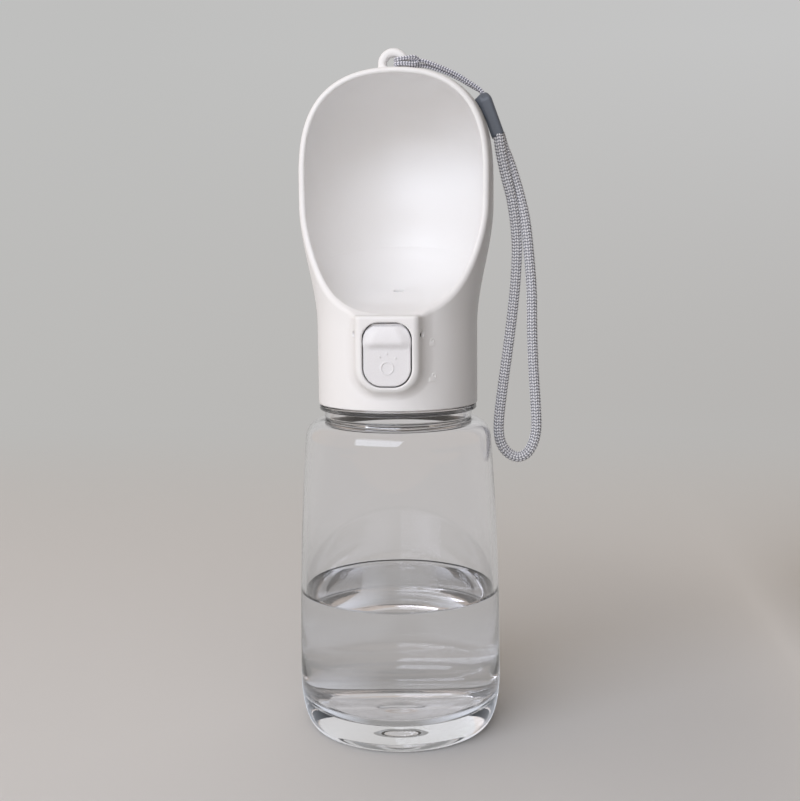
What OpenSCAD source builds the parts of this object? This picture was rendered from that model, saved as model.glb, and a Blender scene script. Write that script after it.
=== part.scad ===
// Dog travel water bottle: a clear screw bottle with a scoop-shaped drinking head on top.
// A rocking button on the front lifts a spring-closed valve, and slides up to lock.
// Z is up, the bottle stands on z = 0 with its axis on x = y = 0, and the button faces -Y.

/* [Bottle] */
// Widest radius of the clear body
body_r = 36.8; // [36:0.1:39]
// How much the body narrows by the shoulder
body_taper = 3.2; // [2:0.1:4]
// Height of the heel rounding above the foot
heel_h = 18; // [12:1:24]
// Radius of the ring that the bottle stands on
foot_r = 31.5; // [28:0.5:33]
// Rise of the hollow under the foot
punt_h = 2.2; // [0.5:0.1:4]
// Height at which the shoulder starts to round
shoulder_z = 106; // [100:0.5:107]
// Radius of the shoulder rounding
shoulder_round = 7.5; // [5:0.5:8]
// Wall thickness of the bottle
bottle_wall = 1.8; // [1.2:0.1:2.4]
// Thickness of the moulded base
base_t = 9; // [5:0.5:12]
// How far the flange stands out from the bare neck
flange_lip = 1.7; // [0.9:0.1:2.4]
// How far the flange lies inside the head's skirt
flange_inset = 0.3; // [0:0.1:1]
// Thickness of the flange
flange_t = 1.8; // [1.2:0.1:2.2]
// Wall thickness of the threaded finish
finish_wall = 2.2; // [1.8:0.1:3]
// Height of the threaded finish above the flange
finish_h = 9.8; // [9.2:0.1:11]

/* [Thread] */
// Rise of the thread in one turn
pitch = 3.2; // [3:0.1:3.6]
// Turns of engaged thread
thread_turns = 1.25; // [1:0.25:1.5]
// Radial gap between crest and opposite root
thread_gap = 0.3; // [0.2:0.05:0.5]
// Height of the thread ridge at its root
ridge_root = 1.3; // [1:0.1:1.4]
// Height of the thread ridge at its crest
ridge_crest = 0.7; // [0.4:0.1:0.8]
// How far the ridges reach over each other
thread_bite = 0.7; // [0.4:0.1:0.9]

/* [Head shell] */
// Radius of the straight skirt
skirt_r = 28.6; // [28.4:0.1:29.4]
// Gap between the flange and the skirt
skirt_gap = 0.3; // [0.3:0.1:0.8]
// Widest radius of the head
head_r = 34.4; // [33:0.1:36]
// Height from the skirt's edge to where the head starts to widen
flare_start = 28; // [26:0.5:29]
// Height from the skirt's edge to the widest part
bulge_h = 75; // [71:1:79]
// Height of the dome above the widest part
dome_h = 42.2; // [39:0.2:45]
// Wall thickness of the head shell
shell_wall = 2.2; // [1.8:0.1:2.4]
// Wall thickness of the skirt around the threaded cap
skirt_wall = 1.9; // [1.6:0.1:1.9]

/* [Scoop] */
// How far the front lip lies behind the front of the skirt
lip_back = 1.1; // [0.6:0.1:1.6]
// Height of the front lip above the skirt's edge
lip_h = 32.5; // [32.2:0.1:33.5]
// Distance of the upper rim ahead of the axis
rim_y = 9.7; // [8.5:0.1:11]
// Slope of the scoop floor
floor_tilt = 13.3; // [11:0.1:14]
// Rounding where the floor turns into the walls
floor_round = 22; // [18:1:24]
// Width of the flat strip of the floor on each side
floor_flat = 8; // [6:0.5:9]
// Distance of the water outlet behind the axis
outlet_y = 5.5; // [5.5:0.1:7]
// Radius of the water outlet
outlet_r = 1.8; // [1.2:0.1:2]

/* [Lanyard eye] */
// Outer radius of the eye
eye_r = 5.4; // [5:0.1:6]
// Radius of the hole in the eye
eye_hole_r = 2.5; // [2.4:0.1:2.7]
// Thickness of the eye from front to back
eye_t = 4; // [3:0.2:4.4]
// Distance of the eye ahead of the axis
eye_y = 3.5; // [3:0.1:4]

/* [Button] */
// Half width of the button
button_w = 7.8; // [7.5:0.05:8.2]
// Height of the button
button_h = 20.8; // [20:0.1:21.4]
// Height of the button's lower edge above the skirt's edge
button_low = 9; // [8.6:0.1:9.2]
// Corner rounding of the button
button_round = 6; // [5:0.1:6.6]
// Gap between the button and its window
button_gap = 0.6; // [0.4:0.05:0.8]
// Thickness of the button's plate
plate_t = 1.9; // [1.7:0.1:2]
// How far the housing's face stands out from the skirt
boss_out = 3.1; // [2.9:0.1:3.4]
// Half width of the housing face
boss_w = 10.5; // [10.3:0.1:10.8]
// How far the plate lies below the housing face
plate_inset = 0.6; // [0.5:0.1:0.8]
// How far the thumb ledge stands out from the plate
ledge_out = 1.7; // [1.2:0.1:2.2]
// Height of the pivot above the skirt's edge
pivot_h = 26.1; // [25.9:0.1:26.3]
// Depth of the pivot behind the housing's face
pivot_in = 3.5; // [3.4:0.05:3.6]
// Radius of the pivot pin
pin_r = 1.1; // [0.9:0.05:1.15]
// Travel of the lock slide
lock_travel = 1.2; // [0.8:0.1:1.2]
// Angle of a full press
press_angle = 7; // [5:0.5:7]

/* [Valve] */
// Distance of the valve ahead of the axis
valve_y = 4; // [3.8:0.1:4.2]
// Radius of the water hole under the plug
seat_r = 3.8; // [3:0.1:4]
// Radius of the silicone plug
plug_r = 5.5; // [5:0.1:5.7]
// Thickness of the plug
plug_t = 3; // [2:0.1:3.2]
// Radius of the valve stem
stem_r = 1.25; // [1.1:0.05:1.3]
// Thickness of the neck gasket
gasket_t = 1.5; // [1.2:0.1:2]
// Thickness of the cap's top plate
cap_plate_t = 2; // [1.6:0.1:2.2]
// Play above the plug at the top of its lift
plug_play = 0.85; // [0.6:0.05:1]
// Thickness of the chamber lid
lid_t = 1.2; // [1:0.1:1.2]
// Thickness of the gasket under the lid
lid_gasket_t = 0.8; // [0.5:0.1:0.8]
// Radius of the water spout on the lid
spout_r = 3.4; // [3.2:0.1:3.5]
// Wire thickness of the valve spring
wire_d = 0.6; // [0.5:0.05:0.7]
// Coils of the valve spring
coils = 5; // [4:1:6]

/* [Wrist strap] */
// Thickness of the thin cord through the eye
cord_d = 1.3; // [1.1:0.1:1.4]
// Thickness of the braided wrist loop
braid_d = 3.8; // [3.2:0.1:4]
// Length of the plastic clamp
clamp_l = 15.5; // [14:0.5:16]
// Width of the clamp
clamp_w = 7.6; // [7.4:0.1:8]
// Thickness of the clamp
clamp_t = 4.5; // [3.8:0.1:4.8]

/* [Hidden] */
$fn = 96;

// Small lengths used throughout
eps = 0.01;
through = 100;
running = 0.06;
seat_slack = 0.02;
clear = 0.3;

// Distances ahead of the axis of the scoop's lip, the housing's face and the pivot
lip_y = skirt_r - lip_back;
boss_y = skirt_r + boss_out;
pivot_y = boss_y - pivot_in;

// How far a full press lifts the valve
lift = (pivot_y - valve_y) * sin(press_angle);

// Valve chamber under its lid
chamber_wall = 1.6;
chamber_r = plug_r + 0.9;
duct_r = 4.4;
seat_rise = 0.6;
seat_wall = 1.2;
gland_t = 1.6;
oring_d = 1.4;
oring_out_r = stem_r + 0.05 + oring_d;
stem_flange_t = 0.8;
stem_neck_r = stem_r - 0.25;
chamber_h = seat_rise + plug_t + stem_flange_t + lift + plug_play + gland_t - lid_gasket_t;

// Screws of the chamber lid
screw_x = 9.8;
screw_y = 1;
screw_r = 0.8;
screw_l = 5;
screw_hole_r = screw_r + clear;
ear_r = 2.4;

// Neck and flange under the head, and the shoulder rounding that ends inside the neck
flange_r = skirt_r - flange_inset;
neck_r = flange_r - flange_lip;
neck_cover = 0.5;
shoulder_r = min(shoulder_round, body_radius(shoulder_z) - neck_r + neck_cover);

// Heights, each stacked on the one below
shoulder_top = shoulder_z + shoulder_r;
flange_z = shoulder_top + 3.1;
flange_top = flange_z + flange_t;
skirt_z = flange_top + skirt_gap;
mouth_z = flange_top + finish_h;
cap_z = mouth_z + gasket_t;
chamber_z = cap_z + cap_plate_t;
lid_gasket_z = chamber_z + chamber_h;
lid_z = lid_gasket_z + lid_gasket_t;
lid_top = lid_z + lid_t;
pivot_z = skirt_z + pivot_h;
lip_z = skirt_z + lip_h;
flare_z = skirt_z + flare_start;
bulge_z = skirt_z + bulge_h;
dome_z = bulge_z + dome_h;
plug_z = chamber_z + seat_rise;
stem_foot_z = plug_z - 1;

// Lever, lift collar and spring above the lid
fork_top = lid_top + 2.5;
collar_z = fork_top + clear;
collar_t = 2;
collar_r = 3.9;
clip_t = 0.5;
clip_bite = 0.25;
spring_low = collar_z + collar_t;
spring_seat_z = spring_low + lift + coils * wire_d + 0.35;

// Water outlet: a socket under the scoop's floor takes the lid's spout and its seal
floor_drop = 0.3;
function floor_at(y) = lip_z - floor_drop + (y + lip_y) * tan(floor_tilt);
socket_r = spout_r + 0.8;
socket_depth = 4.2;
socket_z = floor_at(outlet_y) - 6.9;
spout_top = socket_z + 3.5;

// Button, its window in the shell and the lever's carrier behind it
button_z = skirt_z + button_low;
button_top = button_z + button_h;
boss_low = button_z - 2.1;
lip_cover = 0.8;
window_top = button_top + clear + 0.1;
corner_slack = 1;
tongue_slack = (button_top + lock_travel - pivot_z) * sin(press_angle) + 2 * running;
tongue_front = boss_y - lip_cover - tongue_slack;
face_y = boss_y - plate_inset;
back_y = face_y - plate_t;
barrel_r = pin_r + 0.75;
barrel_w = button_w - 1.2;
pin_half = boss_w - 1.2;
carrier_y = back_y - clear;
carrier_t = 1.8;
carrier_low = pivot_z - 10.8;
carrier_w = 7.2;
slot_low = carrier_low + 1.2;
slot_w = 3;
slot_h = 4;
slot_clear = 0.25;

// Threads: the cap's root clears the bottle's crest, and its crest clears the bottle's root
cap_r = skirt_r - skirt_wall - seat_slack;
cap_wall = 1.5;
cap_root_r = cap_r - cap_wall;
bottle_crest_r = cap_root_r - thread_gap;
cap_crest_r = bottle_crest_r - thread_bite;
finish_r = cap_crest_r - thread_gap - 0.2;
mouth_r = finish_r - finish_wall;
thread_step = 30;
thread_low = flange_top + 2.4;

// Thin cord: from the clamp to the eye, through it and back, as a hitch
cord_route = [[31.1, 2.3, 226.5], [29.6, 2.2, 228.5], [26.2, 1.6, 230.8], [22, 0.8, 233.4], [18, 0, 235.3],
  [15, -0.7, 236.5], [12, -1.3, 237.6], [9.4, -1.4, 238.3], [7, -0.9, 238.5], [4, -0.6, 238.4],
  [1.6, -0.85, 238.2], [0.7, -3.5, 238.2], [1.6, -6.15, 238.2], [4.5, -6.4, 238.5], [7.2, -5.75, 238.8],
  [8.4, -4.7, 238.2], [8.4, -4.7, 237.2], [7.2, -5.75, 236.5], [4.5, -6.4, 236.7], [1.6, -6.15, 236.7],
  [0.7, -3.5, 236.7], [1.6, -0.85, 236.7], [4, -0.6, 236.7], [7, -0.5, 236.8], [9.4, -0.2, 236.8],
  [12, 0.1, 236.4], [15, 0.7, 235.5], [18, 1.4, 234.4], [22, 2.3, 232.6], [26.2, 3.1, 230.2],
  [29.6, 3.7, 228.3], [31.1, 3.7, 226.5]];

// Wrist loop: out of the clamp, down, round and back up into it
loop_route = [[36, 1, 213.6], [36.9, 1.5, 207], [38.6, 2, 199], [41, 3, 189], [42.5, 4, 176], [42.2, 4, 163],
  [41, 4, 150], [39.4, 4, 137], [37.8, 4, 125], [36.5, 4, 114], [36.3, 4, 107], [37.5, 4, 102.4],
  [40, 4, 99.4], [43.4, 4, 98.2], [46.6, 4, 99.8], [48.8, 4, 103.8], [49.8, 4, 109.6], [49.4, 4, 119],
  [48.6, 4, 132], [48.1, 4, 145], [47.9, 4, 158], [46.9, 4, 171], [45.5, 4, 183], [43.2, 4.5, 193],
  [40.1, 5, 203], [37.7, 5, 209], [36.4, 5, 213.6]];

// A curve through three control sides, sampled evenly
function bezier(a, b, c, d, n) = [for (i = [0:n]) let (t = i / n, s = 1 - t)
  s * s * s * a + 3 * s * s * t * b + 3 * s * t * t * c + t * t * t * d];

// An arc of a circle about a centre
function arc(centre, r, from, to, n) = [for (i = [0:n]) let (w = from + (to - from) * i / n)
  [centre[0] + r * cos(w), centre[1] + r * sin(w)]];

// Radius of the bottle's body at a height between the heel and the shoulder
function body_radius(z) = body_r - body_taper * pow(max(0, z - heel_h) / (shoulder_z - heel_h), 2);

// Outline of the bottle's outside from the foot to the top of the shoulder, set in by a wall
function body_outline(inset) = concat(
  [for (i = [0:10]) let (w = 9 * i)
    [foot_r + (body_r - foot_r) * sin(w) - inset * sin(w), heel_h * (1 - cos(w))]],
  [for (i = [1:8]) let (z = heel_h + (shoulder_z - heel_h) * i / 8) [body_radius(z) - inset, z]],
  arc([body_radius(shoulder_z) - shoulder_r, shoulder_z], shoulder_r - inset, 12, 90, 6));

// Radius of the head's outside at a height
function ease(t) = t * t * (3 - 2 * t);
function head_radius(z) =
  z < flare_z ? skirt_r :
  z < bulge_z - 5 ? skirt_r + (head_r - skirt_r) * ease((z - flare_z) / (bulge_z - 5 - flare_z)) :
  z < bulge_z ? head_r :
  head_r * pow(1 - pow(min(1, (z - bulge_z) / (dome_z - bulge_z)), 3), 1 / 2.4);

// Ridge of a screw thread, stepped round the axis; the crest faces in or out
module thread_ridge(root, crest, low, turns) {
  inward = crest < root;
  bed = inward ? root + 0.6 : root - 0.6;
  for (i = [0:turns * 360 / thread_step - 1])
    rotate([0, 0, i * thread_step])
      translate([0, 0, low + pitch * i * thread_step / 360])
        rotate_extrude(angle = thread_step)
          polygon([[bed, -ridge_root / 2], [root, -ridge_root / 2], [crest, -ridge_crest / 2],
            [crest, ridge_crest / 2], [root, ridge_root / 2], [bed, ridge_root / 2]]);
}

// Clear bottle: hollow body, shoulder, flange and threaded finish
module bottle() color([0.88, 0.93, 0.95, 0.35]) {
  inner_floor = base_t;
  inner_r = body_r - bottle_wall;
  inner_round = 10;
  neck_flare = 5;
  foot_in = 3;
  difference() {
    union() {
      rotate_extrude()
        polygon(concat(
          [[0, punt_h], [foot_r - foot_in - 8, punt_h], [foot_r - foot_in, 0]],
          body_outline(0),
          [[neck_r, shoulder_top], [neck_r, flange_z], [flange_r - 0.3, flange_z], [flange_r, flange_z + 0.3],
            [flange_r, flange_top - 0.3], [flange_r - 0.3, flange_top], [finish_r, flange_top],
            [finish_r, mouth_z], [0, mouth_z]]));
      thread_ridge(finish_r, bottle_crest_r, thread_low, thread_turns);
    }
    rotate_extrude()
      polygon(concat(
        [[0, inner_floor]],
        arc([inner_r - inner_round, inner_floor + inner_round], inner_round, -90, 0, 8),
        [for (i = [2:8]) let (z = heel_h + (shoulder_z - heel_h) * i / 8) [body_radius(z) - bottle_wall, z]],
        arc([body_radius(shoulder_z) - shoulder_r, shoulder_z], shoulder_r - bottle_wall, 12, 90, 6),
        [[mouth_r + 1.5, shoulder_top - bottle_wall], [mouth_r, shoulder_top + neck_flare],
          [mouth_r, mouth_z + 1], [0, mouth_z + 1]]));
  }
}

// Flat ring that the cap squeezes onto the mouth
module neck_gasket() color([0.85, 0.86, 0.87]) translate([0, 0, mouth_z]) difference() {
  cylinder(r = cap_root_r - thread_gap, h = gasket_t);
  translate([0, 0, -1]) cylinder(r = mouth_r - 0.5, h = gasket_t + 2);
}

// Head, in its outside form or set in by a wall
module head_form(inset) {
  rotate_extrude()
    polygon(concat(
      [[0, skirt_z], [skirt_r - inset, skirt_z]],
      [for (i = [0:10]) let (z = flare_z + (bulge_z - flare_z) * i / 10) [head_radius(z) - inset, z]],
      [for (i = [1:14]) let (w = 90 * i / 14, z = bulge_z + (dome_z - bulge_z - inset) * sin(w))
        [max(0, head_radius(bulge_z + (z - bulge_z) * (dome_z - bulge_z) / (dome_z - bulge_z - inset))
          * (head_r - inset) / head_r), z]]));
}

// Sloping floor of the scoop with its rounded sides, grown by a wall
module scoop_tub(grow) {
  reach = 70;
  front_shift = 16;
  for (shift = [0, front_shift])
    translate([0, -lip_y, lip_z - floor_drop])
      rotate([floor_tilt, 0, 0])
        translate([0, lip_y - shift, -grow])
          rotate_extrude()
            polygon(concat([[0, 0]],
              arc([floor_flat, floor_round + grow], floor_round + grow, -90, 0, 12),
              [[floor_flat + floor_round + grow + reach / 2, floor_round + reach],
                [0, floor_round + reach]]));
}

// Block whose underside lies in the middle of the scoop's floor
module above_floor()
  translate([0, -lip_y, lip_z - floor_drop])
    rotate([floor_tilt, 0, 0])
      translate([-through / 2, -through / 2, -shell_wall / 2]) cube([through, 2 * through, through]);

// Side outline of all that is cut away in front of the rim
module rim_cut() {
  rim_start = [-lip_y, lip_z];
  rim_bend = [-rim_y, bulge_z + 2];
  rim_rise = 1.2;
  rotate([90, 0, 90])
    translate([0, 0, -through / 2])
      linear_extrude(through)
        polygon(concat(
          [[-through, lip_z]],
          bezier(rim_start, rim_start + [8, 4.8], rim_bend + [-0.8, -27.7], rim_bend, 14),
          [[rim_bend[0] + rim_rise, dome_z + 10], [-through, dome_z + 10]]));
}

// Front outline with round corners, drawn in x and z
module front_outline(half_w, low, high, top_round, low_round) {
  translate([-half_w, low + low_round]) square([2 * half_w, high - low - top_round - low_round]);
  translate([-half_w + low_round, low]) square([2 * (half_w - low_round), low_round + eps]);
  translate([-half_w + top_round, high - top_round - eps])
    square([2 * (half_w - top_round), top_round + eps]);
  for (side = [-1, 1]) {
    translate([side * (half_w - low_round), low + low_round]) circle(low_round);
    translate([side * (half_w - top_round), high - top_round]) circle(top_round);
  }
}

// Line up a bore with the pivot, from the far left
module across_pivot() translate([-through / 2, -pivot_y, pivot_z]) rotate([0, 90, 0]) children();

// Push a front outline from one distance ahead of the axis to a farther one
module push_front(near, far)
  translate([0, -near, 0]) rotate([90, 0, 0]) linear_extrude(far - near) children();

// Housing of the button: sides, lower corners and bottom all lean out towards the shell
module boss() {
  root_y = boss_y - 7;
  lean = 2.4;
  corner = 7.6;
  middle = boss_w - corner;
  translate([0, 0, boss_low + corner])
    linear_extrude(lip_z - boss_low - corner)
      polygon([[-boss_w - lean, -root_y], [-boss_w, -boss_y], [boss_w, -boss_y], [boss_w + lean, -root_y]]);
  for (side = [-1, 1])
    translate([side * middle, -root_y, boss_low + corner])
      rotate([90, 0, 0]) cylinder(r1 = corner + lean, r2 = corner, h = boss_y - root_y);
  rotate([90, 0, 90])
    translate([0, 0, -middle])
      linear_extrude(2 * middle)
        polygon([[-root_y, boss_low - lean], [-boss_y, boss_low], [-boss_y, boss_low + corner],
          [-root_y, boss_low + corner]]);
}

// Head: shell with the scoop inside it, the button's housing, the eye and the two posts under the floor
module head_shell() color([0.95, 0.95, 0.96]) difference() {
  socket_h = 12;
  post_r = 4.4;
  pin_hole_r = 1.3;
  union() {
    difference() {
      union() {
        head_form(0);
        boss();
      }
      rim_cut();
      intersection() {
        head_form(shell_wall);
        scoop_tub(0);
      }
      translate([0, 0, skirt_z - 1]) cylinder(r = skirt_r - skirt_wall, h = chamber_z - skirt_z + 1);
      difference() {
        cylinder(r = skirt_r - skirt_wall - 0.9, h = lip_z + 30);
        scoop_tub(shell_wall);
      }
    }
    eye();
    difference() {
      union() {
        translate([0, -valve_y, spring_seat_z]) cylinder(r = post_r, h = socket_h);
        translate([0, outlet_y, socket_z]) cylinder(r = socket_r + 1.4, h = socket_h);
      }
      above_floor();
    }
  }
  push_front(0, through) front_outline(button_w + button_gap, button_z - button_gap, window_top,
    button_round - corner_slack, button_round + button_gap);
  push_front(pivot_y + 0.2, boss_y - lip_cover)
    front_outline(button_w - 1, button_z + 4, window_top + lock_travel - 0.1, 4, 1);
  across_pivot() cylinder(r = pin_r + seat_slack, h = through);
  for (side = [-1, 1])
    translate([side * (pin_half + 0.1), -pivot_y, pivot_z])
      rotate([0, side * 90, 0]) cylinder(r = pin_hole_r, h = 10);
  translate([0, outlet_y, socket_z - 1]) cylinder(r = socket_r, h = socket_depth + 1);
  translate([0, outlet_y, socket_z]) cylinder(r = outlet_r, h = socket_h);
}

// Eye for the lanyard, on top of the dome
module eye() {
  eye_z = dome_z + 1;
  difference() {
    translate([0, -eye_y + eye_t / 2, eye_z])
      rotate([90, 0, 0])
        linear_extrude(eye_t)
          difference() {
            union() {
              circle(eye_r);
              translate([-eye_r, -2]) square([2 * eye_r, 2]);
            }
            circle(eye_hole_r);
          }
    translate([0, 0, -1]) head_form(shell_wall / 2);
  }
}

// Threaded cap inside the skirt, with the valve chamber on top
module inner_cap() color([0.9, 0.9, 0.92]) {
  screw_boss_r = 2.2;
  sleeve_low = skirt_z + 0.6;
  difference() {
    union() {
      difference() {
        translate([0, 0, sleeve_low]) cylinder(r = cap_r, h = chamber_z - sleeve_low);
        translate([0, 0, sleeve_low - 1]) cylinder(r = cap_root_r, h = cap_z - sleeve_low + 1);
      }
      thread_ridge(cap_root_r, cap_crest_r, thread_low + pitch / 2, thread_turns);
      translate([0, 0, chamber_z - eps]) linear_extrude(chamber_h + eps) chamber_outline(chamber_wall);
      for (side = [-1, 1])
        translate([side * screw_x, screw_y, chamber_z - eps]) cylinder(r = screw_boss_r, h = chamber_h + eps);
      translate([0, -valve_y, chamber_z]) cylinder(r = seat_r + seat_wall, h = seat_rise);
    }
    difference() {
      translate([0, 0, chamber_z]) linear_extrude(chamber_h + 1) chamber_outline(0);
      translate([0, -valve_y, chamber_z - 1]) cylinder(r = seat_r + seat_wall, h = seat_rise + 1);
    }
    translate([0, -valve_y, cap_z - 1]) cylinder(r = seat_r, h = cap_plate_t + seat_rise + 2);
    for (side = [-1, 1])
      translate([side * screw_x, screw_y, lid_gasket_z - screw_l]) cylinder(r = screw_r, h = screw_l + 1);
  }
}

// Plan outline of the valve chamber, grown by a wall
module chamber_outline(grow) {
  translate([0, -valve_y]) circle(chamber_r + grow);
  translate([0, outlet_y]) circle(duct_r + grow);
  translate([-duct_r - grow, -valve_y]) square([2 * (duct_r + grow), valve_y + outlet_y]);
}

// Plan outline of the lid and its gasket, with ears for the screws
module lid_outline(hole_r) {
  difference() {
    union() {
      chamber_outline(chamber_wall);
      for (side = [-1, 1]) translate([side * screw_x, screw_y]) circle(ear_r);
      translate([-screw_x, screw_y - ear_r]) square([2 * screw_x, 2 * ear_r]);
    }
    for (side = [-1, 1]) translate([side * screw_x, screw_y]) circle(hole_r);
  }
}

// Gasket between the chamber and its lid
module lid_gasket() color([0.8, 0.8, 0.82])
  translate([0, 0, lid_gasket_z])
    linear_extrude(lid_gasket_t)
      difference() {
        lid_outline(screw_hole_r);
        chamber_outline(-0.4);
      }

// Lid of the chamber, with the stem's gland and the water spout
module chamber_lid() color([0.9, 0.9, 0.92]) difference() {
  gland_r = oring_out_r + 1.3;
  union() {
    translate([0, 0, lid_z]) linear_extrude(lid_t) lid_outline(screw_hole_r);
    translate([0, -valve_y, lid_z - gland_t]) cylinder(r = gland_r, h = gland_t + eps);
    translate([0, outlet_y, lid_z]) cylinder(r = spout_r, h = spout_top - lid_z);
  }
  translate([0, -valve_y, lid_z - gland_t - 1]) cylinder(r = stem_r + running, h = through);
  translate([0, -valve_y, lid_z - gland_t - eps]) cylinder(r = oring_out_r, h = oring_d + eps);
  translate([0, outlet_y, lid_z - 1]) cylinder(r = spout_r - 1.2, h = through);
}

// Two cross-head screws
module lid_screws() color([0.7, 0.71, 0.73]) {
  head_radius = 1.9;
  head_t = 1.2;
  cross_l = 2.2;
  cross_w = 0.5;
  tip_z = lid_gasket_z - screw_l + 0.5;
  for (side = [-1, 1])
    translate([side * screw_x, screw_y, 0]) {
      translate([0, 0, tip_z]) cylinder(r = screw_r, h = lid_top - tip_z + eps);
      translate([0, 0, lid_top])
        difference() {
          cylinder(r = head_radius, h = head_t);
          for (turn = [0, 90])
            rotate([0, 0, turn])
              translate([-cross_l / 2, -cross_w / 2, head_t / 2]) cube([cross_l, cross_w, 1]);
        }
    }
}

// Seal round the stem, in the lid's gland
module stem_oring() color([0.2, 0.2, 0.2])
  translate([0, -valve_y, lid_z - gland_t + oring_d / 2])
    rotate_extrude()
      translate([oring_out_r - oring_d / 2, 0]) circle(d = oring_d, $fn = 32);

// Cup seal between the spout and the scoop's floor
module outlet_seal() color([0.8, 0.8, 0.82])
  translate([0, outlet_y, socket_z + 0.4])
    difference() {
      cylinder(r = socket_r, h = 3.8);
      translate([0, 0, -1]) cylinder(r = spout_r, h = 4.1);
      cylinder(r = outlet_r, h = 10);
    }

// Pin that the lever rocks on
module pivot_pin() color([0.75, 0.76, 0.78])
  translate([-pin_half, -pivot_y, pivot_z]) rotate([0, 90, 0]) cylinder(r = pin_r, h = 2 * pin_half);

// Lever: a barrel on the pin, a carrier for the button below it and a fork under the lift collar
module rocker() color([0.88, 0.88, 0.9]) {
  beam_w = 5;
  beam_t = 2.6;
  beam_gap = 0.25;
  fork_t = 2;
  fork_reach = 7;
  tine_in = stem_r + 0.45;
  tine_out = collar_r;
  tip = valve_y - 0.5;
  difference() {
    union() {
      translate([-barrel_w, -pivot_y, pivot_z]) rotate([0, 90, 0]) cylinder(r = barrel_r, h = 2 * barrel_w);
      translate([-carrier_w, -carrier_y, carrier_low])
        cube([2 * carrier_w, carrier_t, pivot_z - carrier_low]);
      translate([-beam_w / 2, -carrier_y, lid_top + beam_gap])
        cube([beam_w, carrier_y - valve_y - fork_reach + 2, beam_t]);
      translate([-tine_out, -valve_y - fork_reach, fork_top - fork_t])
        cube([2 * tine_out, valve_y + fork_reach - tip, fork_t]);
    }
    across_pivot() cylinder(r = pin_r + running, h = through);
    translate([-tine_in, -valve_y - tine_in - clear, 0]) cube([2 * tine_in, through, 2 * through]);
    translate([-slot_w / 2 - slot_clear, -through, slot_low])
      cube([slot_w + 2 * slot_clear, through, slot_h + lock_travel + 2 * slot_clear]);
  }
}

// Two leaf strips behind the carrier that hold the lock slide where it is put
module detent_clip() color([0.75, 0.76, 0.78]) {
  leaf_w = 2.4;
  leaf_h = 7;
  leaf_t = 0.3;
  leaf_x = carrier_w - 0.6 - leaf_w;
  for (x = [-leaf_x - leaf_w, leaf_x])
    translate([x, -carrier_y + carrier_t, slot_low]) cube([leaf_w, leaf_t, leaf_h]);
}

// Thumb button: a plate with a ledge, a tongue that locks behind the window's top and a hook in the slot
module button() color([0.95, 0.95, 0.96]) {
  tongue_z = window_top - lock_travel - 0.2;
  ledge_z = button_z + 14.5;
  ledge_low = ledge_z - 1.2;
  step_z = ledge_z + 1.2;
  ramp_z = ledge_z + 4.2;
  ledge_w = 6.2;
  step_w = 5.8;
  ramp_w = 3.6;
  hook_t = 0.8;
  hook_y = back_y - carrier_t - clear - 0.2;
  bevel = 0.5;
  mark_z = button_z + 6.1;
  mark_r = 2.3;
  mark_line = 0.6;
  mark_t = 0.25;
  difference() {
    union() {
      intersection() {
        push_front(back_y - 1, boss_y + 5)
          front_outline(button_w, button_z, button_top, button_round, button_round);
        rotate([90, 0, 90])
          translate([0, 0, -button_w])
            linear_extrude(2 * button_w)
              polygon([[-back_y, button_z], [-back_y, button_top], [-tongue_front, button_top],
                [-tongue_front, tongue_z], [-face_y, tongue_z - 0.3], [-face_y, button_z + bevel],
                [-face_y + bevel, button_z]]);
      }
      intersection() {
        push_front(back_y, boss_y + 5)
          polygon([[-ledge_w, ledge_low], [ledge_w, ledge_low], [step_w, step_z], [ramp_w, ramp_z],
            [-ramp_w, ramp_z], [-step_w, step_z]]);
        rotate([90, 0, 90])
          translate([0, 0, -button_w])
            linear_extrude(2 * button_w)
              polygon([[-back_y, ledge_low], [-back_y, ramp_z], [-face_y, ramp_z],
                [-face_y - ledge_out + 0.3, step_z], [-face_y - ledge_out, ledge_z + 0.6],
                [-face_y - ledge_out + 0.3, ledge_z + 0.1], [-face_y, ledge_low]]);
      }
      push_front(hook_y - hook_t, back_y + eps)
        translate([-slot_w / 2, slot_low + slot_clear]) square([slot_w, slot_h]);
      push_front(hook_y - hook_t, hook_y)
        translate([-slot_w / 2 - 1.2, slot_low + slot_clear]) square([slot_w + 2.4, slot_h]);
      push_front(face_y - eps, face_y + mark_t)
        translate([0, mark_z])
          difference() {
            drop(mark_r);
            drop(mark_r - mark_line);
          }
    }
    for (shift = [0, -lock_travel])
      translate([0, 0, shift]) across_pivot() cylinder(r = barrel_r + clear, h = through);
    translate([-through / 2, -pivot_y - barrel_r - clear, pivot_z - lock_travel])
      cube([through, 2 * (barrel_r + clear), lock_travel]);
  }
}

// Outline of a water drop
module drop(r) {
  circle(r);
  rotate([0, 0, 45]) square(r);
}

// Valve stem with a foot and a flange that hold the plug, and a thinner neck for the collar and clip
module valve_stem() color([0.85, 0.85, 0.87]) translate([0, -valve_y, 0]) {
  translate([0, 0, stem_foot_z]) cylinder(r = 2.2, h = plug_z - stem_foot_z);
  translate([0, 0, plug_z - eps]) cylinder(r = stem_r, h = collar_z - plug_z + eps);
  translate([0, 0, plug_z + plug_t]) cylinder(r = 2.6, h = stem_flange_t);
  difference() {
    translate([0, 0, collar_z - eps]) cylinder(r = stem_neck_r, h = collar_t + 1.6);
    translate([0, 0, spring_low]) clip_groove();
  }
}

// Groove that the clip snaps into
module clip_groove() difference() {
  cylinder(r = stem_neck_r + 1, h = clip_t);
  translate([0, 0, -1]) cylinder(r = stem_neck_r - clip_bite, h = 3);
}

// Silicone plug that closes the water hole
module valve_plug() color([0.8, 0.8, 0.82]) translate([0, -valve_y, plug_z]) difference() {
  cylinder(r = plug_r, h = plug_t);
  translate([0, 0, -1]) cylinder(r = stem_r, h = plug_t + 2);
}

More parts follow.
